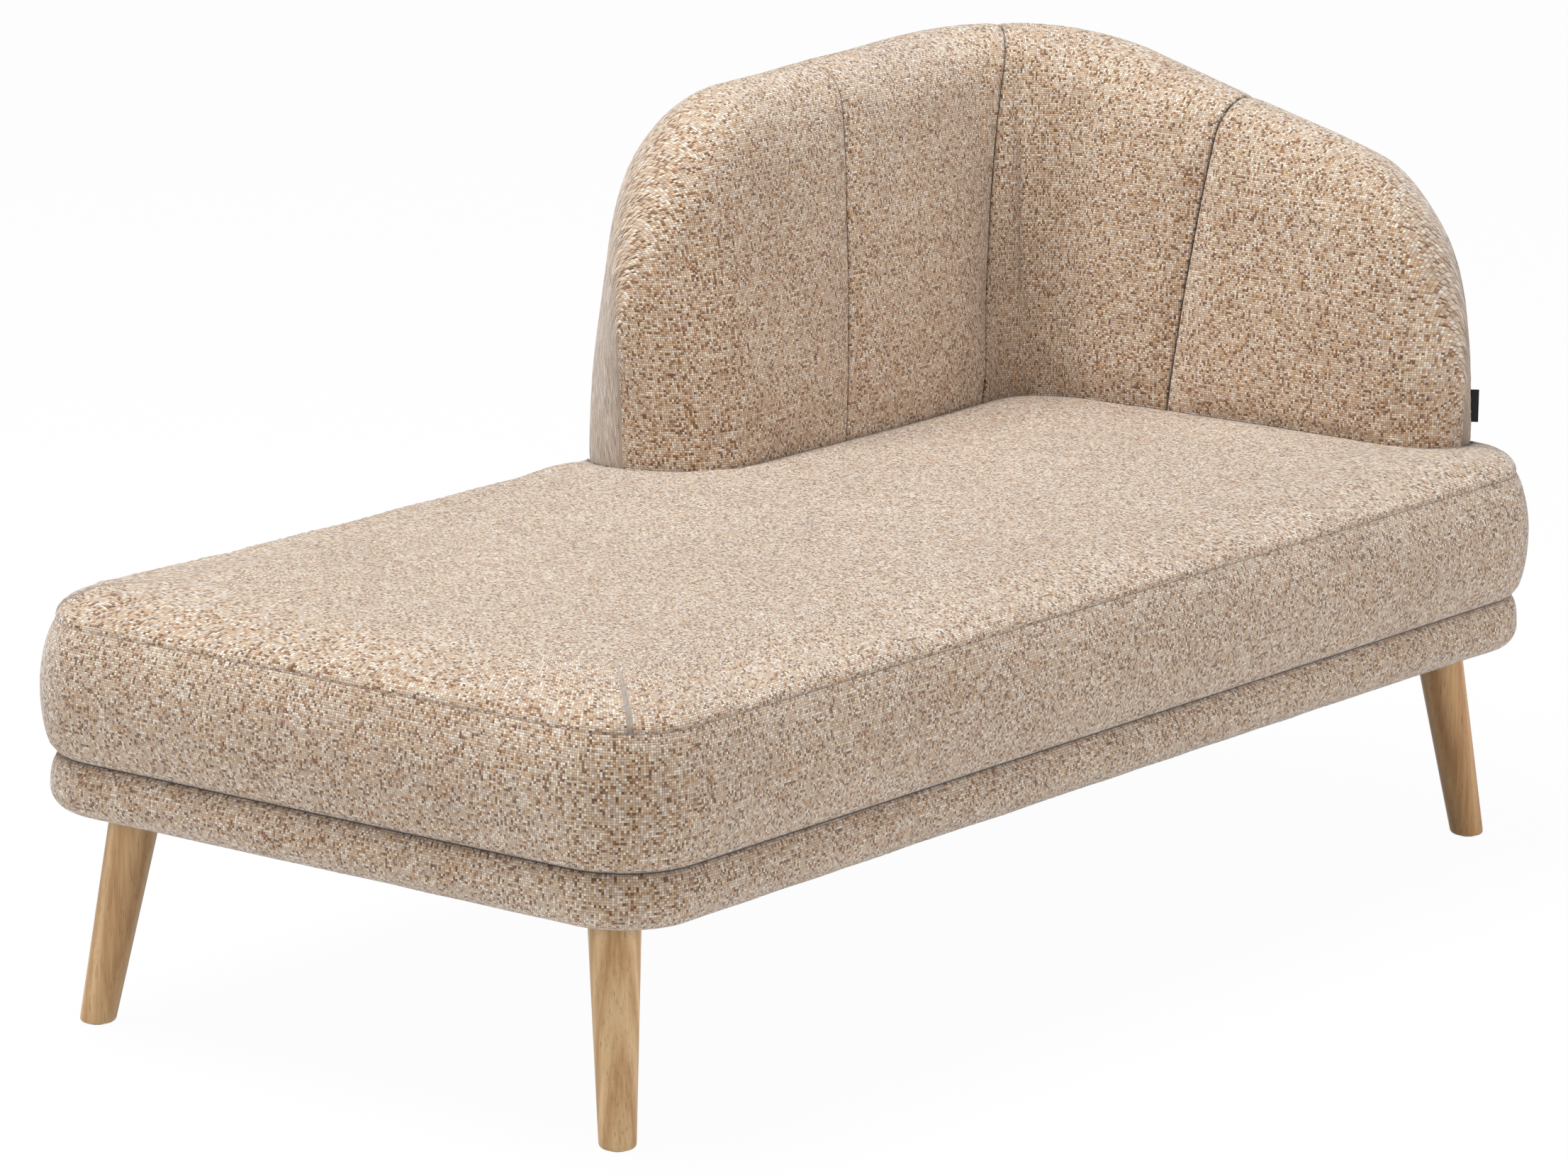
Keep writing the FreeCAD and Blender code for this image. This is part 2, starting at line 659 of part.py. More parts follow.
def backrest_foam():
    outside = Layer(bottom=LINING + SOFT_GAP).deeper(FABRIC + SOFT_GAP)
    hollow = core_layer(-SOFT_GAP)
    hollow.bottom = -THROUGH
    return backrest_body(outside).cut(backrest_body(hollow))


def post_station(post):
    """Place of a post along the backrest's centre line."""
    centre = post.BoundBox.Center
    if centre.x < LINE_X - BACK_TURN_R:
        return centre.x - BACK_FOOT_END_X
    return LONG_RUN + TURN_RUN + LINE_Y - BACK_TURN_R - centre.y


def rib_stations():
    """Each post has a rib screwed to its side away from the turn; the others stand free."""
    beside = (POST_WIDTH + RIB_THICKNESS) / 2
    stations = list(FREE_RIBS)
    for post in posts():
        s = post_station(post)
        stations.append(s - beside if s < CREST_AT else s + beside)
    return sorted(stations)


def backrest_ribs():
    inside = backrest_body(core_layer(BOARD_THICKNESS + FIT_GAP))
    ribs = []
    for s in rib_stations():
        point, normal = station(s)
        plate = box(-RIB_THICKNESS / 2, RIB_THICKNESS / 2, -LONG_THICKNESS, LONG_THICKNESS, SILL_TOP_Z, FAR)
        plate.Placement = Placement(point, Rotation(Vector(0, 1, 0), normal))
        ribs.append(inside.common(plate))
    return Part.makeCompound(ribs)


def backrest_boards():
    """Bent boards over the ribs: the inner one runs over the top, the outer one closes the rear."""
    shell = backrest_body(core_layer()).cut(backrest_body(core_layer(BOARD_THICKNESS)))
    shell = shell.common(slab(SILL_TOP_Z, FAR))
    split = TOP_THICKNESS / 4
    return shell.cut(rear_region(split)), shell.common(rear_region(split + FIT_GAP))


def side_tag():
    """Blank woven tab in the rear seam at the front end."""
    middle_z = TAG_BOTTOM_Z + TAG_HEIGHT / 2
    half = HEAD_THICKNESS / 2
    sine = REAR_SEAM_OFFSET / half
    cosine = math.sqrt(1 - sine ** 2)
    root = Vector(LINE_X + REAR_SEAM_OFFSET + HEAD_LEAN * (middle_z - BACK_BOTTOM_Z),
                  BACK_FRONT_END_Y + half * (1 - cosine), TAG_BOTTOM_Z)
    tab = box(-TAG_SEWN_IN, TAG_PROUD, -TAG_THICKNESS / 2, TAG_THICKNESS / 2, 0, TAG_HEIGHT)
    tab.Placement = Placement(root, Rotation(Vector(1, 0, 0), Vector(sine, -cosine, 0)))
    return tab.cut(backrest_body(Layer()))


# Seat cushion and base upholstery


def stretched(levels, low=0.0, high=0.0):
    """The same profile run on past its ends."""
    first_z, first_out = levels[0]
    last_z, last_out = levels[-1]
    longer = list(levels)
    if low:
        longer.insert(0, (first_z - low, first_out))
    if high:
        longer.append((last_z + high, last_out))
    return longer


def seat_side_band():
    levels = side_levels()
    return stacked(levels).cut(stacked(stretched(levels, THROUGH, THROUGH), FABRIC))


def seat_top_cover():
    """Crowned top panel, pressed in where the backrest stands on it."""
    pressed = BACK_BOTTOM_Z - SOFT_GAP
    outside = stacked(crown_levels()).cut(prism(grown(IMPRINT_MARGIN), pressed, FAR))
    inside = stacked(stretched(crown_levels(FABRIC), THROUGH), FABRIC)
    inside = inside.cut(prism(grown(IMPRINT_MARGIN + FABRIC), pressed - FABRIC, FAR))
    return outside.cut(inside).cut(post_clearance())


def seat_foam():
    gap = FABRIC + SOFT_GAP
    levels = side_levels() + crown_levels(gap)[1:]
    body = stacked(levels, gap)
    body = body.cut(prism(grown(IMPRINT_MARGIN + gap), BACK_BOTTOM_Z - SOFT_GAP - gap, FAR))
    return body.cut(post_clearance())


def base_band_cover():
    levels = base_levels()
    return stacked(levels).cut(stacked(stretched(levels, THROUGH, THROUGH), FABRIC))


def base_band_padding():
    """Four straight strips and four corner pieces round the frame."""
    ring = stacked(base_levels(), FABRIC + SOFT_GAP)
    ring = ring.common(slab(BASE_BOTTOM_Z + DUST_COVER_THICKNESS + SOFT_GAP, FAR))
    ring = ring.cut(rounded_plate(-FRAME_INSET, 0, FAR))
    end_x = BASE_LENGTH / 2 - BASE_CORNER_R
    end_y = BASE_WIDTH / 2 - BASE_CORNER_R
    across = box(-end_x, end_x, -FAR, FAR, 0, FAR)
    endways = box(-FAR, FAR, -end_y, end_y, 0, FAR)
    strips = ring.common(across).Solids + ring.common(endways).Solids
    corners = ring.cut(across).cut(endways).Solids
    return Part.makeCompound(strips + corners)


def seat_felt():
    return rounded_plate(-FRAME_INSET, FELT_BOTTOM_Z, FELT_TOP_Z).cut(post_clearance())


def dust_cover():
    """Cloth under the frame, with a hole for each leg's bolt."""
    inset = BASE_EDGE_R + FABRIC + SOFT_GAP
    sheet = rounded_plate(-inset, BASE_BOTTOM_Z, BASE_BOTTOM_Z + DUST_COVER_THICKNESS)
    for sx, sy in corner_signs():
        foot, top = leg_axis(sx, sy)
        sheet = sheet.cut(rod(top, top - foot, LEG_BOLT_R + FIT_GAP, -THROUGH, THROUGH))
    return sheet


LEG_NAMES = {
    (-1, -1): "leg_foot_front",
    (-1, 1): "leg_foot_back",
    (1, -1): "leg_head_front",
    (1, 1): "leg_head_back",
}


def save_base():
    for (sx, sy), name in LEG_NAMES.items():
        save(name, leg(sx, sy))
    save("leg_glides", Part.makeCompound([glide(sx, sy) for sx, sy in corner_signs()]))
    save("leg_bolts", Part.makeCompound([leg_bolt(sx, sy) for sx, sy in corner_signs()]))
    save("leg_inserts", Part.makeCompound([leg_insert(sx, sy) for sx, sy in corner_signs()]))
    save("corner_blocks", Part.makeCompound([corner_block(sx, sy) for sx, sy in corner_signs()]))
    bores = post_bores()
    save("front_rail", long_rail(-1))
    save("back_rail", long_rail(1))
    save("foot_end_rail", end_rail(-1))
    save("head_end_rail", end_rail(1).cut(bores))
    save("backrest_bearer", backrest_bearer().cut(bores))
    save("cross_rails", cross_rails())
    save("cross_straps", cross_straps())
    save("long_straps", long_straps())
    save("seat_felt", seat_felt())
    save("dust_cover", dust_cover())
    save("base_band_padding", base_band_padding())
    save("base_band_cover", base_band_cover())


def save_seat():
    save("seat_foam", seat_foam())
    save("seat_side_band", seat_side_band())
    save("seat_top_cover", seat_top_cover())


def save_backrest():
    bores = post_bores()
    save("backrest_posts", Part.makeCompound([post.cut(bores) for post in posts()]))
    save("post_screws", Part.makeCompound([post_screw(seat, axis) for seat, axis in post_screw_places()]))
    save("post_washers", Part.makeCompound([post_washer(seat, axis) for seat, axis in post_screw_places()]))
    core = backrest_body(core_layer())
    save("backrest_sill", core.common(slab(SILL_BOTTOM_Z, SILL_TOP_Z)).cut(post_clearance()))
    save("backrest_ribs", backrest_ribs())
    inner_board, outer_board = backrest_boards()
    save("backrest_inner_board", inner_board)
    save("backrest_outer_board", outer_board)
    save("backrest_foam", backrest_foam())
    lining = prism(Layer(FABRIC, FABRIC, 0.0, FABRIC).deeper(SOFT_GAP), BACK_BOTTOM_Z, BACK_BOTTOM_Z + LINING)
    save("backrest_lining", lining.cut(post_clearance()))
    cover = backrest_cover()
    for n, panel in enumerate(backrest_panels(cover), start=1):
        save(f"backrest_panel_{n}", panel)
    save("backrest_outer_cover", cover.common(rear_region(REAR_SEAM_OFFSET + SEAM_GAP)))
    save("side_tag", side_tag())


if __name__ == "__main__":
    os.makedirs("parts", exist_ok=True)
    save_base()
    save_seat()
    save_backrest()
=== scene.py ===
import logging
import math
from dataclasses import dataclass, field
from enum import Enum
from typing import Any, Sequence

import bmesh
import bpy
import numpy as np
from mathutils import Matrix, Vector
from mathutils.kdtree import KDTree


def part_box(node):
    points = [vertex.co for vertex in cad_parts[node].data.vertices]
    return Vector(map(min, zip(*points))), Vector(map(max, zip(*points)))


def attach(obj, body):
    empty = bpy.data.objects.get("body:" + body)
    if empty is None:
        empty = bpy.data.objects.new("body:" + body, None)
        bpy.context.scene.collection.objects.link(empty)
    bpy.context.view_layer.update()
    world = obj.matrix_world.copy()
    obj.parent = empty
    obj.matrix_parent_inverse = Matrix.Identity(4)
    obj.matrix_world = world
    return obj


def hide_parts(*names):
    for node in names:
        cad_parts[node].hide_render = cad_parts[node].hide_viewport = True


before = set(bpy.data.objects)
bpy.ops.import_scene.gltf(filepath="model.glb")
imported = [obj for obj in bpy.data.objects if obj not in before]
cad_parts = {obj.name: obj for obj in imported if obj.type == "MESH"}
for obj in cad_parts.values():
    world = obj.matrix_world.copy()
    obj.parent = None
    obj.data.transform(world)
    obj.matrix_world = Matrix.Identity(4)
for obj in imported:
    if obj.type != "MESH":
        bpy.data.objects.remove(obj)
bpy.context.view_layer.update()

LOG = logging.getLogger("chaise")
MM = 0.001
BODY = "root"
UV_NAME = "cloth"
# Name of the point attribute that holds painted shade in seams and creases and beside the backrest's foot.
SEAM_SHADE_NAME = "seam"
WHITE = (1.0, 1.0, 1.0, 1.0)
TINY = 1e-9
ON_LINE = 1e-4
FAR_OFF = 99.0


class Slot(Enum):
    """Material slots of the part's record, passed with new pieces but not applied to them."""

    LEG = "leg_wood"
    WEAVE = "upholstery_weave"
    FOAM = "foam"
    WEBBING = "webbing"
    LINING = "lining_cloth"
    FELT = "felt"
    TAB = "tag_tape"
    STEEL = "steel"


class Axis(Enum):
    """The way a timber's grain runs."""

    X = 0
    Y = 1
    Z = 2


# Shader and geometry node trees


class Nodes:
    """A short way to place nodes in one tree and to join them."""

    def __init__(self, tree: bpy.types.NodeTree) -> None:
        """Keeps the tree that the nodes go into."""
        self.tree = tree

    def add(self, kind: str, inputs: dict[Any, Any] | None = None, **settings: Any) -> bpy.types.Node:
        """Places one node.

        Args:
            kind: The node's type name.
            inputs: Values or sockets for its inputs, by name or number.
            settings: Values for the node's own properties.

        Returns:
            The new node.
        """
        node = self.tree.nodes.new(kind)
        for name, value in settings.items():
            setattr(node, name, value)
        for name, value in (inputs or {}).items():
            self.feed(node.inputs[name], value)
        return node

    def feed(self, socket: bpy.types.NodeSocket, value: Any) -> None:
        """Links a socket to another, or sets its value."""
        if isinstance(value, bpy.types.NodeSocket):
            self.tree.links.new(value, socket)
        else:
            socket.default_value = value

    def calc(self, operation: str, a: Any, b: Any = 0.0, c: Any = 0.0) -> bpy.types.NodeSocket:
        """Result of one Math node on up to three values."""
        return self.add("ShaderNodeMath", {0: a, 1: b, 2: c}, operation=operation).outputs[0]

    def vector(self, operation: str, a: Any, b: Any = (0.0, 0.0, 0.0)) -> bpy.types.NodeSocket:
        """Vector result of one Vector Math node on two vectors."""
        return self.add("ShaderNodeVectorMath", {0: a, 1: b}, operation=operation).outputs[0]

    def scaled(self, vector: Any, by: Any) -> bpy.types.NodeSocket:
        """A vector times a number."""
        return self.add("ShaderNodeVectorMath", {0: vector, "Scale": by}, operation="SCALE").outputs[0]

    def noise(self, vector: Any, scale: float, detail: float = 2.0) -> bpy.types.NodeSocket:
        """Value of a noise texture, about 0.5 on average."""
        inputs = {"Vector": vector, "Scale": scale, "Detail": detail}
        return self.add("ShaderNodeTexNoise", inputs).outputs[0]

    def spread(self, value: Any, low: float, high: float, to_low: float,
               to_high: float) -> bpy.types.NodeSocket:
        """A value moved smoothly from one range to another and held at its ends."""
        inputs = {0: value, 1: low, 2: high, 3: to_low, 4: to_high}
        return self.add("ShaderNodeMapRange", inputs, interpolation_type="SMOOTHSTEP").outputs[0]

    def group(self, tree: bpy.types.NodeTree, vector: Any, **values: float) -> bpy.types.Node:
        """A shader group with its vector and its other inputs set."""
        return self.add("ShaderNodeGroup", {"Vector": vector, **values}, node_tree=tree)

    def own_place(self) -> bpy.types.NodeSocket:
        """Place on the object, in metres."""
        return self.add("ShaderNodeTexCoord").outputs["Object"]

    def cloth_place(self) -> bpy.types.NodeSocket:
        """Place on the cloth's own UV map, in metres."""
        return self.add("ShaderNodeUVMap", uv_map=UV_NAME).outputs[0]

    def bump(self, shader: bpy.types.Node, height: Any, strength: float, distance: float) -> None:
        """Feeds a bump made from a height to a shader."""
        bump = self.add("ShaderNodeBump", {"Strength": strength, "Distance": distance, "Height": height})
        self.feed(shader.inputs["Normal"], bump.outputs[0])

    def blend(self, share: Any, a: Any, b: Any, way: str = "MIX") -> bpy.types.NodeSocket:
        """Colour mixed from a to b by share."""
        inputs = {0: share, 6: a, 7: b}
        return self.add("ShaderNodeMix", inputs, data_type="RGBA", blend_type=way).outputs[2]

    def ramp(self, value: Any, stops: Sequence[tuple[float, Sequence[float]]]) -> bpy.types.NodeSocket:
        """Colour looked up on a ramp whose stops are written as sRGB numbers up to 255."""
        node = self.add("ShaderNodeValToRGB", {0: value})
        elements = node.color_ramp.elements
        while len(elements) < len(stops):
            elements.new(0.5)
        for element, (place, colour) in zip(elements, stops):
            element.position = place
            element.color = srgb(colour)
        return node.outputs[0]


def srgb(colour: Sequence[float]) -> tuple[float, float, float, float]:
    """Linear colour with alpha from sRGB numbers up to 255."""
    values = [c / 255 for c in colour]
    linear = [v / 12.92 if v <= 0.04045 else ((v + 0.055) / 1.055) ** 2.4 for v in values]
    return (linear[0], linear[1], linear[2], 1.0)


def new_group(name: str, inputs: dict[str, Any], outputs: Sequence[str]) -> tuple[Nodes, Any, Any]:
    """Starts a shader node group.

    Args:
        name: The group's name.
        inputs: Each input's name and default; None makes a vector.
        outputs: Names of its float outputs.

    Returns:
        The group's nodes, its input node and its output node.
    """
    tree = bpy.data.node_groups.new(name, "ShaderNodeTree")
    for label, default in inputs.items():
        kind = "NodeSocketVector" if default is None else "NodeSocketFloat"
        socket = tree.interface.new_socket(name=label, in_out="INPUT", socket_type=kind)
        if default is not None:
            socket.default_value = default
    for label in outputs:
        tree.interface.new_socket(name=label, in_out="OUTPUT", socket_type="NodeSocketFloat")
    nodes = Nodes(tree)
    return nodes, nodes.add("NodeGroupInput"), nodes.add("NodeGroupOutput")


def weave_group() -> bpy.types.NodeTree:
    """Plain weave: a crossing shows the warp or the weft, and each thread changes tone along its length."""
    inputs = {"Vector": None, "Threads": 380.0, "Wander": 0.5}
    n, given, out = new_group("plain_weave", inputs, ("Height", "Thread", "Gap"))
    push = n.add("ShaderNodeTexNoise", {"Vector": given.outputs["Vector"], "Scale": 60.0, "Detail": 3.0})
    push = n.scaled(n.vector("SUBTRACT", push.outputs["Color"], (0.5, 0.5, 0.5)), given.outputs["Wander"])
    cells = n.vector("ADD", n.scaled(given.outputs["Vector"], given.outputs["Threads"]), push)
    split = n.add("ShaderNodeSeparateXYZ", {0: cells})
    x, y = split.outputs[0], split.outputs[1]
    column, row = n.calc("FLOOR", x), n.calc("FLOOR", y)
    under = n.calc("MODULO", n.calc("ABSOLUTE", n.calc("ADD", column, row)), 2.0)
    round_x = n.calc("SINE", n.calc("MULTIPLY", n.calc("FRACT", x), math.pi))
    round_y = n.calc("SINE", n.calc("MULTIPLY", n.calc("FRACT", y), math.pi))
    rise, rest = 0.45, 0.55
    warp = n.calc("MULTIPLY", round_x, n.calc("MULTIPLY_ADD", round_y, rise, rest))
    weft = n.calc("MULTIPLY", round_y, n.calc("MULTIPLY_ADD", round_x, rise, rest))
    over = n.calc("SUBTRACT", 1.0, under)
    height = n.calc("ADD", n.calc("MULTIPLY", weft, under), n.calc("MULTIPLY", warp, over))

    def tone(thread: Any, along: Any, length: float, shift: float) -> Any:
        """Random tone of one stretch of a thread."""
        place = {1: n.calc("ADD", thread, shift)}
        start = n.add("ShaderNodeTexWhiteNoise", place, noise_dimensions="1D")
        stretches = n.calc("DIVIDE", along, length)
        piece = n.calc("FLOOR", n.calc("MULTIPLY_ADD", start.outputs[0], 9.0, stretches))
        place = n.add("ShaderNodeCombineXYZ", {0: thread, 1: piece, 2: shift})
        return n.add("ShaderNodeTexWhiteNoise", {0: place.outputs[0]}, noise_dimensions="3D").outputs[0]

    warp_tone = tone(column, row, 1.9, 3.0)
    weft_tone = tone(row, column, 1.4, 71.0)
    thread = n.calc("ADD", n.calc("MULTIPLY", weft_tone, under), n.calc("MULTIPLY", warp_tone, over))
    n.feed(out.inputs["Height"], height)
    n.feed(out.inputs["Thread"], thread)
    # Gap is 1 where the weave lies low between threads; the cover paints shade there.
    n.feed(out.inputs["Gap"], n.spread(height, 0.06, 0.36, 1.0, 0.0))
    return n.tree


def grain_group() -> bpy.types.NodeTree:
    """Wood grain that runs along Z: broad growth bands, fine streaks and short dark pores."""
    inputs = {"Vector": None, "Bands": 55.0, "Streaks": 260.0}
    n, given, out = new_group("lengthwise_grain", inputs, ("Band", "Streak", "Pore"))
    place = given.outputs["Vector"]
    long_way = n.vector("MULTIPLY", place, (1.0, 1.0, 0.09))
    bend = n.noise(n.vector("MULTIPLY", place, (1.0, 1.0, 0.3)), 9.0, 1.0)
    split = n.add("ShaderNodeSeparateXYZ", {0: long_way})
    across = n.calc("ADD", n.calc("MULTIPLY_ADD", split.outputs[0], 0.8, split.outputs[1]),
                    n.calc("MULTIPLY", bend, 0.05))
    wave = n.calc("SINE", n.calc("MULTIPLY", n.calc("MULTIPLY", across, given.outputs["Bands"]), math.tau))
    n.feed(out.inputs["Band"], n.calc("MULTIPLY_ADD", wave, 0.5, 0.5))
    fine = n.vector("MULTIPLY", place, (1.0, 1.0, 0.05))
    n.feed(out.inputs["Streak"], n.noise(n.scaled(fine, given.outputs["Streaks"]), 1.0, 3.0))
    pores = n.noise(n.scaled(n.vector("MULTIPLY", place, (1.0, 1.0, 0.035)), 900.0), 1.0, 1.0)
    n.feed(out.inputs["Pore"], n.spread(pores, 0.62, 0.72, 0.0, 1.0))
    return n.tree


@dataclass(frozen=True)
class Groups:
    """The shared shader groups, built once."""

    weave: bpy.types.NodeTree
    grain: bpy.types.NodeTree


def new_material(name: str) -> tuple[bpy.types.Material, Nodes, Any]:
    """A node material with nothing but its Principled shader.

    Returns:
        The material, its nodes and the shader node.
    """
    material = bpy.data.materials.new(name)
    material.use_nodes = True
    shader = material.node_tree.nodes["Principled BSDF"]
    return material, Nodes(material.node_tree), shader


@dataclass(frozen=True)
class Upholstery:
    """The mixed-yarn plain weave that covers the seat and the backrest.

    Attributes:
        threads: Threads in a metre.
        wander: How far the threads stray, in threads.
        tones: Colours of the yarn's stretches, with their places on a ramp.
        patches: Slightly darker and full colour of broad patches.
        gap: Colour of the painted shade between the threads.
        seam: Colour of the painted shade down in the seams and creases and beside the backrest's foot.
        shade: How strongly both of these painted shades show.
        relief: Height of the threads, in metres.
    """

    threads: float = 400.0
    wander: float = 0.7
    tones: tuple = (
        (0.0, (116, 82, 56)), (0.14, (170, 130, 96)), (0.3, (214, 176, 138)), (0.46, (216, 190, 162)),
        (0.62, (230, 208, 184)), (0.76, (190, 168, 154)), (0.88, (240, 222, 202)), (1.0, (252, 242, 228)))
    patches: tuple = ((0.3, (243, 240, 238)), (0.7, (255, 255, 255)))
    gap: tuple[int, int, int] = (84, 62, 50)
    seam: tuple[int, int, int] = (58, 42, 34)
    shade: float = 0.8
    relief: float = 0.0007

    def build(self, groups: Groups) -> bpy.types.Material:
        """The cover cloth, which reads the cloth's own UV map and its attribute of painted seam shade."""
        material, n, shader = new_material("upholstery_weave")
        place = n.cloth_place()
        weave = n.group(groups.weave, place, Threads=self.threads, Wander=self.wander)
        colour = n.ramp(weave.outputs["Thread"], self.tones)
        colour = n.blend(1.0, colour, n.ramp(n.noise(place, 5.0, 3.0), self.patches), "MULTIPLY")
        # Painted shade between the threads: the gap colour darkens the weave's low places.
        colour = n.blend(n.calc("MULTIPLY", weave.outputs["Gap"], self.shade), colour, srgb(self.gap))
        # Painted shade: the cloth darkens towards the seam colour where the seam attribute is high.
        seam = n.add("ShaderNodeAttribute", attribute_name=SEAM_SHADE_NAME).outputs["Fac"]
        colour = n.blend(n.calc("MULTIPLY", seam, self.shade), colour, srgb(self.seam))
        n.feed(shader.inputs["Base Color"], colour)
        fuzz = n.noise(place, 2600.0, 2.0)
        n.bump(shader, n.calc("MULTIPLY_ADD", fuzz, 0.35, weave.outputs["Height"]), 0.8, self.relief)
        n.feed(shader.inputs["Roughness"], n.spread(fuzz, 0.2, 0.8, 0.82, 0.97))
        shader.inputs["Sheen Weight"].default_value = 0.65
        shader.inputs["Sheen Roughness"].default_value = 0.45
        shader.inputs["Sheen Tint"].default_value = (1.0, 0.99, 0.98, 1.0)
        shader.inputs["Specular IOR Level"].default_value = 0.25
        return material


@dataclass(frozen=True)
class Timber:
    """A wood finish whose grain runs along one axis."""

    name: str
    light: tuple[int, int, int]
    dark: tuple[int, int, int]
    axis: Axis = Axis.Z
    shift: tuple[float, float, float] = (0.0, 0.0, 0.0)
    bands: float = 55.0
    pores: float = 0.5
    roughness: float = 0.5

    def build(self, groups: Groups) -> bpy.types.Material:
        """The wood as a material on Object coordinates."""
        material, n, shader = new_material(self.name)
        turn = {Axis.X: (0.0, math.pi / 2, 0.0), Axis.Y: (math.pi / 2, 0.0, 0.0), Axis.Z: (0.0, 0.0, 0.0)}
        mapping = {"Vector": n.own_place(), "Location": self.shift, "Rotation": turn[self.axis]}
        grain = n.group(groups.grain, n.add("ShaderNodeMapping", mapping).outputs[0], Bands=self.bands)
        streaks = n.calc("MULTIPLY", grain.outputs["Streak"], 0.75)
        tone = n.calc("MULTIPLY_ADD", grain.outputs["Band"], 0.35, streaks)
        middle = tuple((a + b) / 2 for a, b in zip(self.light, self.dark))
        colour = n.ramp(tone, ((0.25, self.dark), (0.5, middle), (0.8, self.light)))
        pore = n.calc("MULTIPLY", grain.outputs["Pore"], self.pores)
        colour = n.blend(pore, colour, srgb(tuple(0.55 * c for c in self.dark)))
        n.feed(shader.inputs["Base Color"], colour)
        height = n.calc("SUBTRACT", n.calc("MULTIPLY", grain.outputs["Streak"], 0.4), grain.outputs["Pore"])
        n.bump(shader, height, 0.25, 0.0003)
        rough = n.spread(grain.outputs["Streak"], 0.3, 0.7, self.roughness - 0.06, self.roughness + 0.08)
        n.feed(shader.inputs["Roughness"], rough)
        return material


@dataclass(frozen=True)
class Plain:
    """A finish with mottled colour and a fine surface, such as foam, felt, plastic or steel."""

    name: str
    low: tuple[int, int, int]
    high: tuple[int, int, int]
    scale: float = 300.0
    roughness: float = 0.8
    metallic: float = 0.0
    relief: float = 0.0003

    def build(self, groups: Groups) -> bpy.types.Material:
        """The finish as a material on Object coordinates."""
        material, n, shader = new_material(self.name)
        place = n.own_place()
        fine = n.noise(place, self.scale, 4.0)
        broad = n.noise(place, self.scale / 25, 2.0)
        tone = n.calc("MULTIPLY_ADD", broad, 0.5, n.calc("MULTIPLY", fine, 0.5))
        n.feed(shader.inputs["Base Color"], n.ramp(tone, ((0.35, self.low), (0.65, self.high))))
        n.bump(shader, fine, 0.4, self.relief)
        rough = n.spread(fine, 0.3, 0.7, self.roughness - 0.07, self.roughness + 0.07)
        n.feed(shader.inputs["Roughness"], rough)
        shader.inputs["Metallic"].default_value = self.metallic
        return material


@dataclass(frozen=True)
class Ribbed:
    """Narrow woven tape or webbing, with ribs on the cloth's UV map or on Object coordinates."""

    name: str
    shaded_ground: tuple[int, int, int]
    rib: tuple[int, int, int]
    threads: float
    own_uv: bool = False

    def build(self, groups: Groups) -> bpy.types.Material:
        """The tape as a material that uses the plain weave at its own scale."""
        material, n, shader = new_material(self.name)
        place = n.cloth_place() if self.own_uv else n.own_place()
        weave = n.group(groups.weave, place, Threads=self.threads, Wander=0.2)
        height = weave.outputs["Height"]
        # Painted shade: the tone mixes each thread's own tone with its height, so the low places of the weave
        # come out darker towards the shaded ground colour.
        tone = n.calc("MULTIPLY_ADD", weave.outputs["Thread"], 0.4, n.calc("MULTIPLY", height, 0.6))
        n.feed(shader.inputs["Base Color"], n.ramp(tone, ((0.1, self.shaded_ground), (0.9, self.rib))))
        n.bump(shader, height, 0.6, 0.0004)
        n.feed(shader.inputs["Roughness"], n.spread(tone, 0.0, 1.0, 0.9, 0.7))
        return material


class Finishes:
    """Every material of the object, built once and found by name."""

    def __init__(self) -> None:
        """Builds the shared groups and leaves the materials for when they are asked for."""
        self.groups = Groups(weave_group(), grain_group())
        self.made: dict[str, bpy.types.Material] = {}

    def get(self, finish: Any) -> bpy.types.Material:
        """The material of a finish, built the first time it is asked for."""
        key = getattr(finish, "name", type(finish).__name__)
        if key not in self.made:
            self.made[key] = finish.build(self.groups)
        return self.made[key]


WEAVE = Upholstery()
STEEL = Plain("zinc_steel", (150, 152, 156), (196, 198, 202), 500.0, 0.34, 1.0, 0.0001)
BLACK_PLASTIC = Plain("glide_plastic", (24, 24, 26), (38, 38, 40), 700.0, 0.5)
FOAM = Plain("foam", (226, 214, 176), (240, 230, 200), 700.0, 0.95, 0.0, 0.0008)
WADDING = Plain("wadding", (226, 224, 218), (244, 243, 238), 240.0, 0.97, 0.0, 0.0012)
FELT = Plain("felt", (120, 116, 112), (150, 146, 140), 380.0, 0.97, 0.0, 0.0006)
LINING = Ribbed("lining_cloth", (30, 30, 32), (52, 52, 55), 900.0)
WEBBING = Ribbed("webbing", (120, 98, 70), (190, 168, 130), 420.0)
TAB_TAPE = Ribbed("tag_tape", (9, 9, 10), (38, 38, 41), 1500.0, True)
THREAD = Plain("sewing_thread", (92, 74, 62), (140, 118, 100), 900.0, 0.8)
OAK_LIGHT = (226, 190, 142)
OAK_DARK = (184, 138, 88)
BEECH_LIGHT = (206, 172, 134)
BEECH_DARK = (172, 136, 98)
PLY_LIGHT = (210, 184, 146)
PLY_DARK = (168, 134, 96)


# Surfaces as points, triangles and values at the points, in millimetres


def running_length(line: np.ndarray) -> np.ndarray:
    """Length along a line at each of its points."""
    return np.concatenate([[0.0], np.cumsum(np.linalg.norm(np.diff(line, axis=0), axis=1))])


def resampled(line: np.ndarray, path: np.ndarray, places: np.ndarray) -> np.ndarray:
    """Points of a flat line at new places along its path."""
    return np.column_stack([np.interp(places, path, line[:, k]) for k in range(2)])


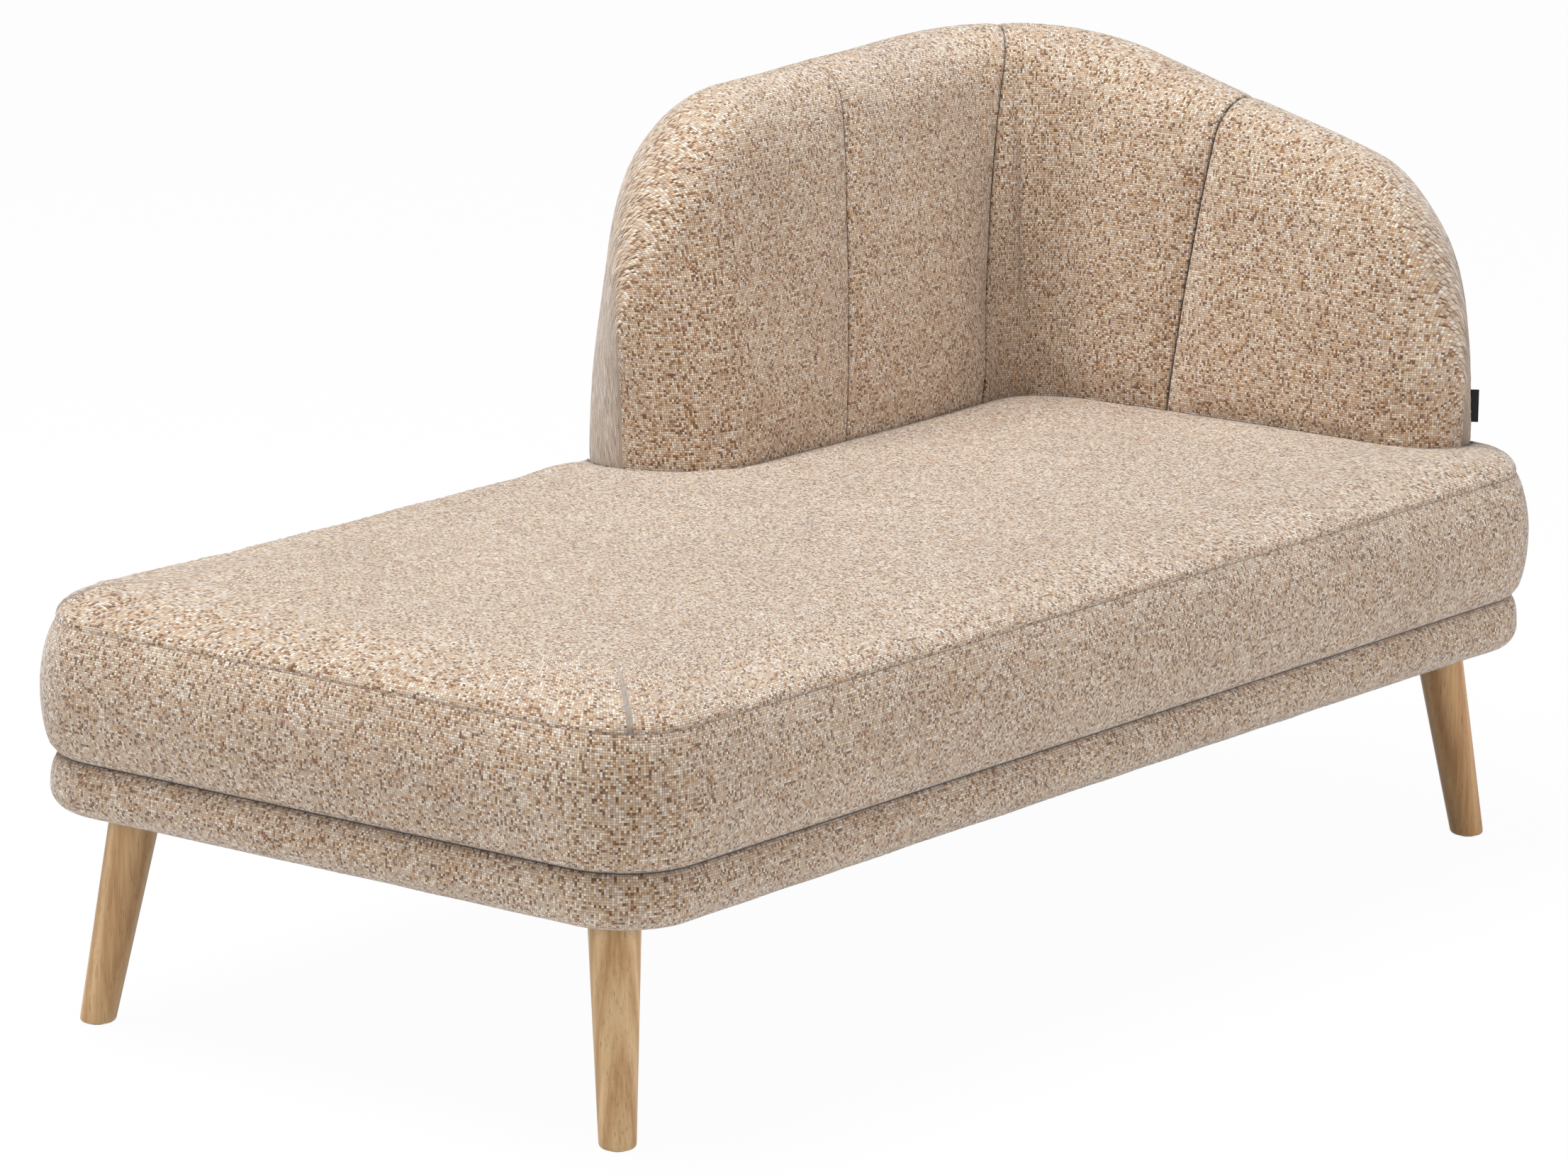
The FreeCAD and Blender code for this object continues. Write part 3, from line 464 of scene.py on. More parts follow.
def soften(rows: np.ndarray, times: int) -> None:
    """Evens rows out by their neighbours, with the first and the last kept."""
    for _ in range(times):
        rows[1:-1] = (rows[:-2] + 2 * rows[1:-1] + rows[2:]) / 4


def grown(value: np.ndarray, reach: float) -> np.ndarray:
    """Share that rises from 0 to 1 over a reach and stays there."""
    return np.clip(value / reach, 0.0, 1.0)


def faded(gap: np.ndarray, reach: float) -> np.ndarray:
    """Share that falls from 1 towards 0 as a distance grows past its reach."""
    return np.exp(-gap / reach)


def eased(t: np.ndarray) -> np.ndarray:
    """A share from 0 to 1 with a gentle start and end."""
    return t * t * (3 - 2 * t)


@dataclass
class Skin:
    """A surface of triangles, with named values at its points.

    Attributes:
        points: Places in millimetres, one row each.
        faces: Three point numbers for each triangle.
        values: A number for each point under each name.
    """

    points: np.ndarray
    faces: np.ndarray
    values: dict[str, np.ndarray] = field(default_factory=dict)

    def normals(self) -> np.ndarray:
        """Unit normals at the points, weighted by area."""
        a, b, c = (self.points[self.faces[:, k]] for k in range(3))
        area = np.cross(b - a, c - a)
        total = np.zeros_like(self.points)
        for k in range(3):
            np.add.at(total, self.faces[:, k], area)
        return total / np.maximum(np.linalg.norm(total, axis=1, keepdims=True), TINY ** 2)

    def area(self) -> float:
        """Area in square metres."""
        a, b, c = (self.points[self.faces[:, k]] for k in range(3))
        return float(np.linalg.norm(np.cross(b - a, c - a), axis=1).sum()) / 2 * MM * MM

    def cut(self, name: str, level: float) -> None:
        """Puts a line of edges where a value passes a level.

        Args:
            name: The value's name.
            level: The value along the new edges.
        """
        away = self.values[name] - level
        away[np.abs(away) < ON_LINE] = 0.0
        side = np.sign(away)[self.faces]
        crossed = (side.max(axis=1) > 0) & (side.min(axis=1) < 0)
        hit = self.faces[crossed]
        if not len(hit):
            return
        pairs = np.sort(np.stack([hit[:, [0, 1]], hit[:, [1, 2]], hit[:, [2, 0]]], axis=1), axis=2)
        edges, which = np.unique(pairs.reshape(-1, 2), axis=0, return_inverse=True)
        which = which.reshape(-1, 3)
        start, end = away[edges[:, 0]], away[edges[:, 1]]
        split = start * end < 0
        number = np.full(len(edges), -1)
        number[split] = len(self.points) + np.arange(split.sum())
        share = (start[split] / (start[split] - end[split]))
        first, second = edges[split, 0], edges[split, 1]
        self.points = np.vstack([self.points, self.points[first] * (1 - share[:, None])
                                 + self.points[second] * share[:, None]])
        for key, value in self.values.items():
            self.values[key] = np.concatenate([value, value[first] * (1 - share) + value[second] * share])
        made = []
        for corners, numbers in zip(hit, number[which]):
            once = (numbers >= 0).sum() == 1
            k = int(np.argmax(numbers >= 0)) if once else int(np.argmin(numbers))
            a, b, c = (corners[(k + n) % 3] for n in range(3))
            if once:
                made += [(a, numbers[k], c), (numbers[k], b, c)]
            else:
                near_b, near_a = numbers[(k + 1) % 3], numbers[(k + 2) % 3]
                made += [(a, b, near_b), (a, near_b, near_a), (near_a, near_b, c)]
        self.faces = np.vstack([self.faces[~crossed], np.array(made)])

    def level_way(self, share: np.ndarray) -> np.ndarray:
        """The way in which relief moves the points.

        Args:
            share: 1 where the way is level and straight out of the ring, 0 where it is the normal.
        """
        level = np.column_stack([self.values["out_x"], self.values["out_y"], np.zeros(len(self.points))])
        way = level * share[:, None] + self.normals() * (1 - share[:, None])
        return way / np.maximum(np.linalg.norm(way, axis=1, keepdims=True), TINY)

    def part(self, chosen: np.ndarray) -> "Skin":
        """The chosen triangles as a surface of their own."""
        faces = self.faces[chosen]
        used, numbers = np.unique(faces, return_inverse=True)
        values = {key: value[used] for key, value in self.values.items()}
        return Skin(self.points[used], numbers.reshape(-1, 3), values)

    def middle(self, name: str) -> np.ndarray:
        """A value at the middle of each triangle."""
        return self.values[name][self.faces].mean(axis=1)


def grid_faces(numbers: np.ndarray) -> np.ndarray:
    """Triangles over a grid of point numbers, turned up when rows run along +Y and columns along +X."""
    a, b = numbers[:-1, :-1].ravel(), numbers[:-1, 1:].ravel()
    c, d = numbers[1:, 1:].ravel(), numbers[1:, :-1].ravel()
    faces = np.vstack([np.stack([a, b, c], axis=1), np.stack([a, c, d], axis=1)])
    sound = (faces[:, 0] != faces[:, 1]) & (faces[:, 1] != faces[:, 2]) & (faces[:, 2] != faces[:, 0])
    return faces[sound]


def ring_faces(rows: int, count: int) -> np.ndarray:
    """Triangles of a tube whose rings each have the same count of points."""
    numbers = np.arange(rows * count).reshape(rows, count)
    return grid_faces(np.hstack([numbers, numbers[:, :1]]))


def waves(places: np.ndarray, length: float, seed: int) -> np.ndarray:
    """Smooth random relief between about -1 and 1.

    Args:
        places: Points, in millimetres.
        length: Usual distance between two crests, in millimetres.
        seed: Number that fixes the pattern.
    """
    rng = np.random.default_rng(seed)
    total = np.zeros(len(places))
    count = 14
    for _ in range(count):
        way = rng.normal(size=places.shape[1])
        way /= np.linalg.norm(way)
        pitch = length * rng.uniform(0.75, 1.6)
        total += np.sin(places @ way * (math.tau / pitch) + rng.uniform(0, math.tau))
    return total / math.sqrt(count)


@dataclass(frozen=True)
class Wave:
    """One layer of soft random relief. Millimetres."""

    height: float
    length: float
    seed: int

    def over(self, places: np.ndarray) -> np.ndarray:
        """Relief at the given places."""
        return self.height * waves(places, self.length, self.seed)


def new_object(name: str, data: Any) -> bpy.types.Object:
    """An object for a mesh, camera or lamp, linked to the scene."""
    obj = bpy.data.objects.new(name, data)
    bpy.context.scene.collection.objects.link(obj)
    return obj


def make_object(name: str, skin: Skin, material: bpy.types.Material, thickness: float = 0.0,
                around: float = 0.0) -> bpy.types.Object:
    """A Blender object from a surface, with its UV map, its attribute of painted seam shade and its wall
    thickness.

    Args:
        name: The piece's name.
        skin: Its surface in millimetres, with values u and v in metres for the UV map.
        material: Its finish.
        thickness: Wall added to the inner side, in millimetres.
        around: Length of a closed band in metres, so that its map runs on over the last column.

    Returns:
        The object, in metres.
    """
    mesh = bpy.data.meshes.new(name)
    mesh.vertices.add(len(skin.points))
    mesh.vertices.foreach_set("co", (skin.points * MM).ravel())
    mesh.loops.add(3 * len(skin.faces))
    mesh.loops.foreach_set("vertex_index", skin.faces.ravel())
    mesh.polygons.add(len(skin.faces))
    mesh.polygons.foreach_set("loop_start", np.arange(len(skin.faces)) * 3)
    mesh.update(calc_edges=True)
    mesh.validate()
    mesh.polygons.foreach_set("use_smooth", np.ones(len(mesh.polygons), dtype=bool))
    if "u" in skin.values:
        layer = mesh.uv_layers.new(name=UV_NAME)
        corners = skin.faces.ravel()
        places = np.stack([skin.values["u"], skin.values["v"]], axis=1)[corners]
        if around:
            u = places[:, 0].reshape(-1, 3)
            u += around * (u < u.max(axis=1, keepdims=True) - around / 2)
            places[:, 0] = u.ravel()
        layer.data.foreach_set("uv", places.ravel())
    if SEAM_SHADE_NAME in skin.values:
        attribute = mesh.attributes.new(SEAM_SHADE_NAME, "FLOAT", "POINT")
        attribute.data.foreach_set("value", skin.values[SEAM_SHADE_NAME])
    mesh.materials.append(material)
    obj = new_object(name, mesh)
    if thickness:
        wall = obj.modifiers.new("wall", "SOLIDIFY")
        wall.thickness = thickness * MM
        wall.offset = -1.0
        bake_modifiers(obj)
    return obj


def bake_modifiers(obj: bpy.types.Object) -> None:
    """Turns the result of an object's modifiers into its own plain mesh and removes them."""
    seen = obj.evaluated_get(bpy.context.evaluated_depsgraph_get())
    mesh = bpy.data.meshes.new_from_object(seen)
    obj.modifiers.clear()
    old = obj.data
    obj.data = mesh
    bpy.data.meshes.remove(old)
    mesh.name = obj.name


def hand_over(obj: bpy.types.Object, slot: Slot, *nodes: str) -> bpy.types.Object:
    """Makes a finished piece ride on the body and stand for its nodes, which it hides."""
    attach(obj, BODY)
    if nodes:
        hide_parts(*nodes)
    LOG.info("%s: %d faces, for %s", obj.name, len(obj.data.polygons), ", ".join(nodes) or "itself")
    return obj


# Plan shapes of the seat and the base


@dataclass(frozen=True)
class Outline:
    """Rounded rectangle of the base, divided alike at every size so that rings join.

    Attributes:
        half_x: Half of its length, in millimetres.
        half_y: Half of its width.
        corner: Radius of its corners.
        step: About how long each division is.
    """

    half_x: float = 800.0
    half_y: float = 395.0
    corner: float = 90.0
    step: float = 7.5

    @property
    def counts(self) -> tuple[int, int]:
        """Divisions of a long side and of a short one."""
        return round(2 * self.half_x / self.step), round(2 * self.half_y / self.step)

    def side(self, half: float, other: float, r: float, count: int) -> tuple[np.ndarray, np.ndarray]:
        """One side from the middle of its first corner to the middle of its last, and its outward normals."""
        arc = math.pi / 4 * r
        total = 2 * (half - r) + 2 * arc
        run = np.linspace(0.0, total, count + 1)
        turn = (np.minimum(run - arc, 0.0) + np.maximum(run - total + arc, 0.0)) / max(r, TINY)
        along = np.clip(run - arc, 0.0, 2 * (half - r)) - (half - r)
        points = np.stack([along + r * np.sin(turn), -(other - r) - r * np.cos(turn)], axis=1)
        return points, np.stack([np.sin(turn), -np.cos(turn)], axis=1)

    def ring(self, outset: float) -> tuple[np.ndarray, np.ndarray]:
        """Points and outward normals of one closed ring, anticlockwise from the corner at -X, -Y."""
        hx, hy = self.half_x + outset, self.half_y + outset
        r = max(self.corner + outset, 0.0)
        nx, ny = self.counts
        points, normals = [], []
        for quarter, (x, y) in enumerate(((1, 0), (0, 1), (-1, 0), (0, -1))):
            p, m = self.side(hy, hx, r, ny) if quarter % 2 else self.side(hx, hy, r, nx)
            spin = np.array([[x, y], [-y, x]])
            points.append((p @ spin)[:-1])
            normals.append((m @ spin)[:-1])
        return np.vstack(points), np.vstack(normals)

    def run(self) -> np.ndarray:
        """Length along the full-size ring at each of its points, in millimetres."""
        points, _ = self.ring(0.0)
        return running_length(points)

    def around(self) -> float:
        """Whole length of the full-size ring, in millimetres."""
        points, _ = self.ring(0.0)
        return float(running_length(np.vstack([points, points[:1]]))[-1])

    def patch(self, ring: np.ndarray) -> np.ndarray:
        """Even grid of points inside a ring, whose border is the ring itself."""
        nx, ny = self.counts
        low = ring[:nx + 1]
        right = ring[nx:nx + ny + 1]
        high = ring[nx + ny:2 * nx + ny + 1][::-1]
        left = np.vstack([ring[2 * nx + ny:], ring[:1]])[::-1]
        u = np.linspace(0, 1, nx + 1)[None, :, None]
        v = np.linspace(0, 1, ny + 1)[:, None, None]
        corners = ((1 - u) * (1 - v) * low[0] + u * (1 - v) * low[-1]
                   + (1 - u) * v * high[0] + u * v * high[-1])
        return (1 - v) * low[None] + v * high[None] + (1 - u) * left[:, None] + u * right[:, None] - corners

    def patch_numbers(self, first_of_ring: int, first_inside: int) -> np.ndarray:
        """Point numbers of the grid, the ring's own on its border."""
        nx, ny = self.counts
        count = 2 * (nx + ny)
        numbers = np.empty((ny + 1, nx + 1), dtype=int)
        numbers[1:-1, 1:-1] = first_inside + np.arange((ny - 1) * (nx - 1)).reshape(ny - 1, nx - 1)
        numbers[0] = first_of_ring + np.arange(nx + 1)
        numbers[:, -1] = first_of_ring + nx + np.arange(ny + 1)
        numbers[-1] = first_of_ring + (nx + ny + np.arange(nx + 1))[::-1]
        numbers[:, 0] = first_of_ring + ((2 * nx + ny + np.arange(ny + 1)) % count)[::-1]
        return numbers


def band_skin(outline: Outline, profile: np.ndarray, lid: bool = False, base: bool = False) -> Skin:
    """Surface round the base from a side profile, with flat or domed ends if asked.

    Args:
        outline: Plan shape.
        profile: Rows of outset and height, from the bottom upwards.
        lid: Whether the last ring is closed.
        base: Whether the first ring is closed.
    """
    rings = [outline.ring(outset) for outset, _ in profile]
    points = np.vstack([np.column_stack([p, np.full(len(p), z)]) for (p, _), (_, z) in zip(rings, profile)])
    count = len(rings[0][0])
    faces = [ring_faces(len(profile), count)]
    along = np.tile(outline.run(), len(profile))
    u = along * MM
    v = np.repeat(running_length(profile), count) * MM
    for ring, wanted, turned in ((len(profile) - 1, lid, False), (0, base, True)):
        if not wanted:
            continue
        patch = outline.patch(rings[ring][0])[1:-1, 1:-1].reshape(-1, 2)
        grid = outline.patch_numbers(ring * count, len(points))
        points = np.vstack([points, np.column_stack([patch, np.full(len(patch), profile[ring][1])])])
        u = np.concatenate([u, patch[:, 0] * MM])
        v = np.concatenate([v, patch[:, 1] * MM])
        cap = grid_faces(grid)
        faces.append(cap[:, ::-1] if turned else cap)
    rest = len(points) - len(profile) * count
    outward = np.vstack([normal for _, normal in rings] + [np.zeros((rest, 2))])
    return Skin(points, np.vstack(faces), {
        "u": u, "v": v, "along": np.concatenate([along, np.zeros(rest)]),
        "out_x": outward[:, 0], "out_y": outward[:, 1]})


def smooth_profile(profile: Sequence[tuple[float, float]], step: float, soft: float = 2.0) -> np.ndarray:
    """A profile as evenly spaced points with its corners rounded and its ends kept.

    Args:
        profile: Corners as outset and height.
        step: Distance between the new points.
        soft: About how far each corner is rounded.
    """
    corners = np.array(profile, dtype=float)
    path = running_length(corners)
    fine = np.linspace(0.0, path[-1], max(int(path[-1]), 8) + 1)
    line = resampled(corners, path, fine)
    soften(line, int(soft * soft))
    count = max(int(round(path[-1] / step)), 3)
    return resampled(line, fine, np.linspace(0.0, path[-1], count + 1))


# Backrest

SEAMS = ("seam0", "seam1", "seam2", "rear")
ROWS_BESIDE_SEAMS = (-9.0, -4.0, -1.8, -0.7, 0.0, 0.7, 1.8, 4.0, 9.0)


@dataclass(frozen=True)
class BackForm:
    """Shape of the backrest, a wall that turns round the corner of the head end. Millimetres.

    Attributes:
        line_x: Place of the centre line's run along the head end.
        line_y: Place of its run along the long side.
        turn: Radius of the centre line between the two runs.
        foot_end_x: Where the backrest begins along the long side.
        long_run, head_run: Lengths of the two straight runs.
        bottom, top: Heights of the foot and of the crest.
        long_thick, head_thick: Thickness at the foot along each run.
        top_half: Half of the thickness at the shoulders.
        bow: How far the walls bow out.
        lean: How far the centre line leans back for each unit of height, along each run.
        fall_long, fall_head: Slopes of the top away from its crest.
        crest: How softly the top turns over the crest.
        long_dome, head_dome: Length and drop of the domed tips.
        wall_length: Usual length of a wall from the foot to the shoulder.
        seams: Where each front seam starts at the foot and ends at the top, along the centre line.
        rear_offset: Place of the rear seam behind the centre line.
        rear_wrap: Where the rear seam starts to pass behind the foot-end tip, over what run, and how far.
        rear_slant: Length on the cover for each unit of offset at the rear seam.
        mix: Shares of the two runs at which values start and stop passing from one to the other.
        cap_density: How much closer together the rows over the top are than the step.
        softness: How widely the section's corners are rounded.
    """

    line_x: float = 727.0
    line_y: float = 288.0
    turn: float = 160.0
    foot_end_x: float = 33.0
    long_run: float = 534.0
    head_run: float = 449.5
    bottom: float = 424.0
    top: float = 849.0
    long_thick: float = 200.0
    head_thick: float = 132.0
    top_half: float = 55.0
    bow: float = 7.0
    lean: tuple[float, float] = (0.05, 0.03)
    fall_long: float = 0.045
    fall_head: float = 0.27
    crest: float = 70.0
    long_dome: tuple[float, float] = (200.0, 260.0)
    head_dome: tuple[float, float] = (132.0, 250.0)
    wall_length: float = 370.0
    seams: tuple = ((262.0, 345.0), (520.0, 640.0), (892.0, 940.0))
    rear_offset: float = 38.0
    rear_wrap: tuple[float, float, float] = (170.0, 140.0, 46.0)
    rear_slant: float = 1.25
    mix: tuple[float, float] = (0.6, 0.3)
    cap_density: float = 1.15
    softness: float = 60.0

    @property
    def turn_run(self) -> float:
        """Length of the centre line round the turn."""
        return math.pi / 2 * self.turn

    @property
    def run(self) -> float:
        """Whole length of the centre line."""
        return self.long_run + self.turn_run + self.head_run

    def station(self, s: np.ndarray) -> tuple[np.ndarray, np.ndarray]:
        """Plan points and outward normals of the centre line."""
        angle = np.clip((s - self.long_run) / self.turn, 0.0, math.pi / 2)
        normal = np.stack([np.sin(angle), np.cos(angle)], axis=-1)
        centre = np.array([self.line_x - self.turn, self.line_y - self.turn])
        point = centre + normal * self.turn
        before = np.minimum(s - self.long_run, 0.0)
        after = np.maximum(s - self.long_run - self.turn_run, 0.0)
        return point + np.stack([before, -after], axis=-1), normal

    def mixed(self, s: np.ndarray, long_value: float, head_value: float) -> np.ndarray:
        """A value that passes smoothly from the long side to the head end."""
        start, end = self.mix[0] * self.long_run, self.run - self.mix[1] * self.head_run
        w = eased(grown(s - start, end - start))
        return long_value * (1 - w) + head_value * w

    @staticmethod
    def quarter(share: np.ndarray) -> np.ndarray:
        """Height of a quarter circle at a share of its run."""
        return np.sqrt(np.maximum(0.0, 1 - (1 - np.clip(share, 0.0, 1.0)) ** 2))

    def ridge(self, s: np.ndarray) -> np.ndarray:
        """Height of the top, with both ends domed."""
        crest_at = self.long_run + self.turn_run / 2

        def drop(run: np.ndarray) -> np.ndarray:
            """Fall from the crest over a run."""
            return np.hypot(np.maximum(run, 0.0), self.crest) - self.crest

        fall = self.fall_long * drop(crest_at - s) + self.fall_head * drop(s - crest_at)
        dome_a = self.long_dome[1] * (1 - self.quarter(s / self.long_dome[0]))
        dome_b = self.head_dome[1] * (1 - self.quarter((self.run - s) / self.head_dome[0]))
        return self.top - fall - np.maximum(dome_a, dome_b)

    def half(self, s: np.ndarray) -> np.ndarray:
        """Half of the thickness at the foot."""
        return self.mixed(s, self.long_thick, self.head_thick) / 2

    def narrow(self, s: np.ndarray) -> np.ndarray:
        """Share of the thickness left at a place near a tip."""
        return self.quarter(np.minimum(s, self.run - s) / self.half(s))

    def stations(self, step: float) -> np.ndarray:
        """Places of the columns, closer together round the tips."""
        ends = []
        for half in (self.long_thick / 2, self.head_thick / 2):
            count = max(int(round(half * math.pi / 2 / step)), 5)
            ends.append(half * (1 - np.cos(np.linspace(0, math.pi / 2, count + 1))))
        middle = np.linspace(ends[0][-1], self.run - ends[1][-1],
                             int((self.run - ends[0][-1] - ends[1][-1]) / step) + 1)
        return np.concatenate([ends[0][:-1], middle, self.run - ends[1][::-1][1:]])

    def skin(self, step: float) -> Skin:
        """The whole cover, open at the bottom.

        Args:
            step: About how long the sides of its faces are.

        Returns:
            The surface with values s, off (from the leaning centre line), z, u, v, and the distance
            to each seam.
        """
        s = self.stations(step)
        wall = np.linspace(0, 1, int(self.wall_length / step) + 1)[:-1]
        cap = np.linspace(0, math.pi, int(math.pi * self.top_half / step * self.cap_density) + 1)
        rows = len(wall) * 2 + len(cap)
        point, normal = self.station(s)
        half, narrow, ridge = self.half(s), self.narrow(s), self.ridge(s)
        lean = self.mixed(s, *self.lean)
        share = np.minimum(1.0, (ridge - self.bottom) / (2 * self.top_half))
        shoulder = ridge - share * self.top_half
        offsets, heights = np.empty((rows, len(s))), np.empty((rows, len(s)))
        for n, t in enumerate(wall):
            width = half + (self.top_half - half) * t + 4 * self.bow * t * (1 - t)
            for row, sign in ((n, -1), (rows - 1 - n, 1)):
                offsets[row] = sign * width
                heights[row] = self.bottom + (shoulder - self.bottom) * t
        for n, angle in enumerate(cap):
            offsets[len(wall) + n] = -self.top_half * math.cos(angle)
            heights[len(wall) + n] = shoulder + (ridge - shoulder) * math.sin(angle)
        offsets *= narrow
        for table in (offsets, heights):
            soften(table, int(self.softness / step))
        out = offsets + lean * (heights - self.bottom)
        places = np.dstack([point[None, :, 0] + normal[None, :, 0] * out,
                            point[None, :, 1] + normal[None, :, 1] * out, heights])
        numbers = np.arange(rows * len(s)).reshape(rows, len(s))
        for column in (0, len(s) - 1):
            numbers[rows // 2:, column] = numbers[:rows - rows // 2, column][::-1]
        steps = np.linalg.norm(np.diff(places, axis=0), axis=2)
        v = np.vstack([np.zeros(len(s)), np.cumsum(steps, axis=0)])
        u = np.tile(running_length(np.column_stack([s, half * narrow])), (rows, 1))
        skin = Skin(places.reshape(-1, 3), grid_faces(numbers), {
            "s": np.tile(s, (rows, 1)).ravel(), "off": offsets.ravel(), "z": heights.ravel(),
            "u": u.ravel() * MM, "v": v.ravel() * MM})
        for n, (low, high) in enumerate(self.seams):
            slant = (high - low) / (self.top - self.bottom)
            away = (skin.values["s"] - low - slant * (skin.values["z"] - self.bottom)) / math.hypot(1, slant)
            skin.values[f"seam{n}"] = away
        start, run, reach = self.rear_wrap
        seam_offset = self.rear_offset + reach * eased(grown(start - skin.values["s"], run))
        skin.values["rear"] = (skin.values["off"] - seam_offset) * self.rear_slant
        return skin.part(np.ones(len(skin.faces), dtype=bool))

    def footprint(self) -> np.ndarray:
        """Closed outline of the foot, as plan points."""
        s = self.stations(4.0)
        point, normal = self.station(s)
        reach = (self.half(s) * self.narrow(s))[:, None]
        return np.vstack([point - normal * reach, (point + normal * reach)[::-1]])

    def clearance(self, places: np.ndarray) -> tuple[np.ndarray, np.ndarray]:
        """Distance of plan points from the foot's outline, below zero inside, and the way out."""
        outline = self.footprint()
        far = np.full(len(places), np.inf)
        way = np.zeros_like(places)
        ends = np.roll(outline, -1, axis=0)
        for a, b in zip(outline, ends):
            edge = b - a
            size = edge @ edge
            if size < TINY:
                continue
            t = np.clip(((places - a) @ edge) / size, 0, 1)[:, None]
            gap = places - (a + t * edge)
            length = np.linalg.norm(gap, axis=1)
            nearer = length < far
            far[nearer] = length[nearer]
            way[nearer] = gap[nearer] / np.maximum(length[nearer], TINY)[:, None]
        x, y = places[:, 0], places[:, 1]
        inside = np.zeros(len(places), dtype=bool)
        for (ax, ay), (bx, by) in zip(outline, ends):
            spans = (ay > y) != (by > y)
            if not spans.any():
                continue
            inside ^= spans & (x < (bx - ax) * (y - ay) / (by - ay) + ax)
        far[inside] *= -1
        way[inside] *= -1
        return far, way


# Relief of sewn and stretched cloth


@dataclass(frozen=True)
class Relief:
    """How a sewn cover departs from its plain form. Millimetres."""

    seam_depth: float = 2.6
    seam_width: float = 1.5
    roll_depth: float = 1.3
    roll_width: float = 9.0
    pucker: float = 0.32
    pucker_length: float = 15.0
    pucker_reach: float = 16.0
    pucker_start: float = 2.0

    def draw_in(self, away: np.ndarray, along: np.ndarray, seed: int, strength: float = 1.0) -> np.ndarray:
        """Depth below the plain form near one seam.

        Args:
            away: Distance from the seam.
            along: Length along the seam.
            seed: Number that fixes the puckers.
            strength: Share of the full depth.
        """
        gap = np.abs(away)
        depth = self.seam_depth * faded(gap, self.seam_width) + self.roll_depth * faded(gap, self.roll_width)
        ripple = waves(along[:, None], self.pucker_length, seed) * faded(gap, self.pucker_reach)
        return strength * (depth + self.pucker * ripple * (1 - faded(gap, self.pucker_start)))


class Cloth:
    """Simulates the stretched covers once, on a coarse copy, and lends the result to the fine surfaces."""

    FRAMES = 20

    def __init__(self, pressure: float = 4.0, most: float = 4.5) -> None:
        """Keeps the air pressure inside and how far a point may move, in millimetres."""
        self.pressure = pressure
        self.most = most
        self.parts: list[Skin] = []
        self.tree: KDTree | None = None
        self.shift = np.zeros((0, 3))

    def add(self, skin: Skin, held: np.ndarray) -> None:
        """Adds one coarse surface, with the points that stay where they are."""
        skin.values["held"] = held.astype(float)
        self.parts.append(skin)

    def run(self) -> None:
        """Blows the covers up a little between their seams."""
        counts = np.cumsum([0] + [len(part.points) for part in self.parts])
        points = np.vstack([part.points for part in self.parts])
        faces = np.vstack([part.faces + start for part, start in zip(self.parts, counts)])
        held = np.concatenate([part.values["held"] for part in self.parts])
        mesh = bpy.data.meshes.new("covers")
        mesh.from_pydata((points * MM).tolist(), [], faces.tolist())
        obj = new_object("covers", mesh)
        group = obj.vertex_groups.new(name="held")
        group.add([int(k) for k in np.flatnonzero(held > 0.5)], 1.0, "REPLACE")
        modifier = obj.modifiers.new("cloth", "CLOTH")
        settings = modifier.settings
        settings.use_pressure = True
        settings.uniform_pressure_force = self.pressure
        settings.vertex_group_mass = "held"
        settings.quality = 4
        settings.mass = 0.15
        settings.tension_stiffness = settings.compression_stiffness = 8.0
        settings.effector_weights.gravity = 0.0
        scene = bpy.context.scene
        scene.frame_start, scene.frame_end = 1, self.FRAMES
        for number in range(1, self.FRAMES + 1):
            scene.frame_set(number)
        seen = obj.evaluated_get(bpy.context.evaluated_depsgraph_get())
        moved = np.empty(len(points) * 3, dtype=np.float32)
        seen.data.vertices.foreach_get("co", moved)
        shift = moved.reshape(-1, 3) / MM - points
        size = np.linalg.norm(shift, axis=1)
        LOG.info("cloth moved up to %.1f mm, %.1f mm on average", size.max(), size.mean())
        self.shift = shift * (np.minimum(size, self.most) / np.maximum(size, TINY))[:, None]
        bpy.data.objects.remove(obj)
        bpy.data.meshes.remove(mesh)
        scene.frame_set(1)
        self.tree = KDTree(len(points))
        for number, point in enumerate(points):
            self.tree.insert(point, number)
        self.tree.balance()

    def lend(self, skin: Skin, ease: np.ndarray) -> None:
        """Moves a fine surface as the coarse one near it moved.

        Args:
            skin: The fine surface.
            ease: Share of the movement that each point takes, 0 at the seams.
        """
        if self.tree is None:
            return
        for number, point in enumerate(skin.points):
            near = self.tree.find_n(point, 4)
            weights = np.array([1.0 / (distance + 1.0) ** 2 for _, _, distance in near])
            moves = self.shift[[index for _, index, _ in near]]
            skin.points[number] += ease[number] * (moves * weights[:, None]).sum(axis=0) / weights.sum()


# Sub-assemblies

EASE = 18.0


